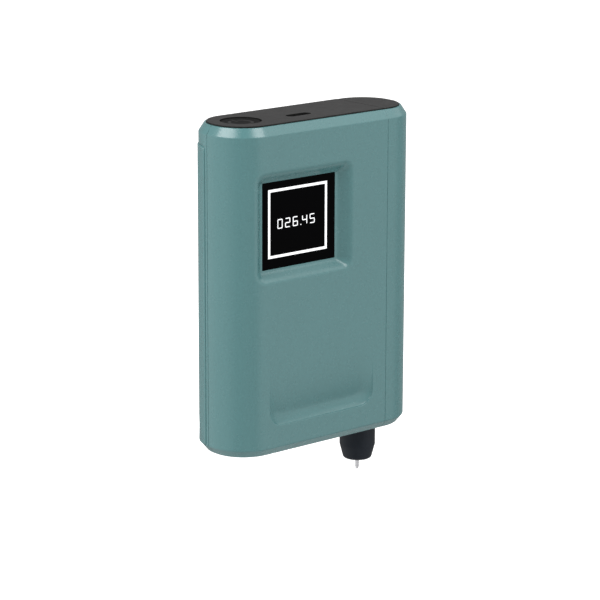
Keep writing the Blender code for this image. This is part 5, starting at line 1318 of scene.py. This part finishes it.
slots = {row["node"]: row["material_slot"] for row in frame["record"]["subparts"]}
for name, node in frame["nodes"].items():
    node.data.materials.clear()
    node.data.materials.append(bpy.data.materials[slots[name] + "_look"])
for name, slot in finishes.items():
    if not bpy.data.objects[name].data.materials:
        bpy.data.objects[name].data.materials.append(bpy.data.materials[slot + "_look"])
print("finishes:", len(bpy.data.materials), "on", len(slots), "nodes and", len(finishes), "new pieces")

# %% [markdown]
# The studio: a pale floor, two soft boxes, high on the left and high in front, and a dimmer, broader one on
# the right. The photograph's two bright patches on the chamfer are reflections of the first two. The air is
# white where the camera looks straight at it. For the light that it sends it is grey, with paler ground on
# the left and a little behind, in front, and low down, which the body's faces mirror. The floor's glow is
# for the camera only, so that it is as white as the photograph's, and the floor isn't seen in reflections.

# %% Floor, lights and air
FLOOR_Z, FLOOR_REACH, PAPER_GREY, PAPER_GLOW = -0.0700, 4, 0.60, 0.80
AIR_SEEN, AIR_GREY = 1.05, 0.42
floor_mesh = bpy.data.meshes.new("studio_floor")
fx, fy = np.meshgrid(*[np.linspace(-FLOOR_REACH, FLOOR_REACH, 3)] * 2)
floor_mesh.from_pydata(xyz(fx, fy, FLOOR_Z).reshape(-1, 3).tolist(), [],
                       rows_of_faces(3, 3)[:, ::-1].tolist())
floor = add_object("studio_floor", floor_mesh)
floor.visible_glossy = False
paper = bpy.data.materials.new("studio_paper")
paper.use_nodes = True
paper_tree = paper.node_tree
paper_inputs = paper_tree.nodes["Principled BSDF"].inputs
paper_inputs["Base Color"].default_value = (PAPER_GREY, PAPER_GREY, PAPER_GREY, 1)
paper_inputs["Roughness"].default_value = 0.9
paper_inputs["Emission Color"].default_value = (1, 1, 1, 1)
seen = add_node(paper_tree, "LightPath").outputs["Is Camera Ray"]
fill(paper_tree, paper_inputs["Emission Strength"], times(paper_tree, seen, PAPER_GLOW))
floor_mesh.materials.append(paper)


def way_to(azimuth, height):
    """The direction of a place; azimuth is from the front, to the right, and both angles are in degrees."""
    a, e = math.radians(azimuth), math.radians(height)
    return math.cos(e) * math.sin(a), -math.cos(e) * math.cos(a), math.sin(e)


air = bpy.data.worlds.new("studio_air")
bpy.context.scene.world = air
air.use_nodes = True
sky = air.node_tree
seen = add_node(sky, "LightPath").outputs["Is Camera Ray"]
direction = own_place(sky)
# Extra light from around a direction: azimuth, height, the cosines where it starts and is full, amount.
PALE_GROUNDS = [(-115, -8, 0.42, 0.966, 0.75), (32, -2, 0.77, 0.955, 0.62), (-10, -4, 0.34, 0.94, 0.28)]
grounds = []
for azimuth, height, low, high, amount in PALE_GROUNDS:
    near = add_node(sky, "VectorMath", {0: direction, 1: way_to(azimuth, height)}, operation="DOT_PRODUCT")
    grounds.append(between(sky, near.outputs["Value"], low, high, 0.0, amount))
grounds.append(between(sky, parts_of(sky, direction)[2], -0.55, -0.85, 0.0, 0.42))
ground = grounds[0]
for more in grounds[1:] + [AIR_GREY]:
    ground = plus(sky, ground, more)
backdrop = sky.nodes["Background"].inputs
fill(sky, backdrop["Color"], (1, 1, 1, 1))
fill(sky, backdrop["Strength"], between(sky, seen, 0.0, 1.0, ground, AIR_SEEN, smooth=False))

# Rectangular lights one metre away and aimed at the tester: azimuth, height, width, tall, radiance.
SOFT_BOXES = {"left_soft_box": (-95, 45, 0.80, 0.45, 7.0), "front_soft_box": (17.5, 50, 0.41, 0.50, 6.2),
              "right_soft_box": (76, 42, 1.10, 0.75, 1.2)}
for name, (azimuth, height, width, tall, radiance) in SOFT_BOXES.items():
    light = bpy.data.lights.new(name, "AREA")
    light.shape, light.size, light.size_y = "RECTANGLE", width, tall
    light.energy = radiance * math.pi * width * tall
    lamp = add_object(name, light)
    lamp.location = way_to(azimuth, height)
    lamp.rotation_euler = (-lamp.location).to_track_quat("-Z", "Y").to_euler()
bpy.context.scene.view_settings.view_transform = "Standard"
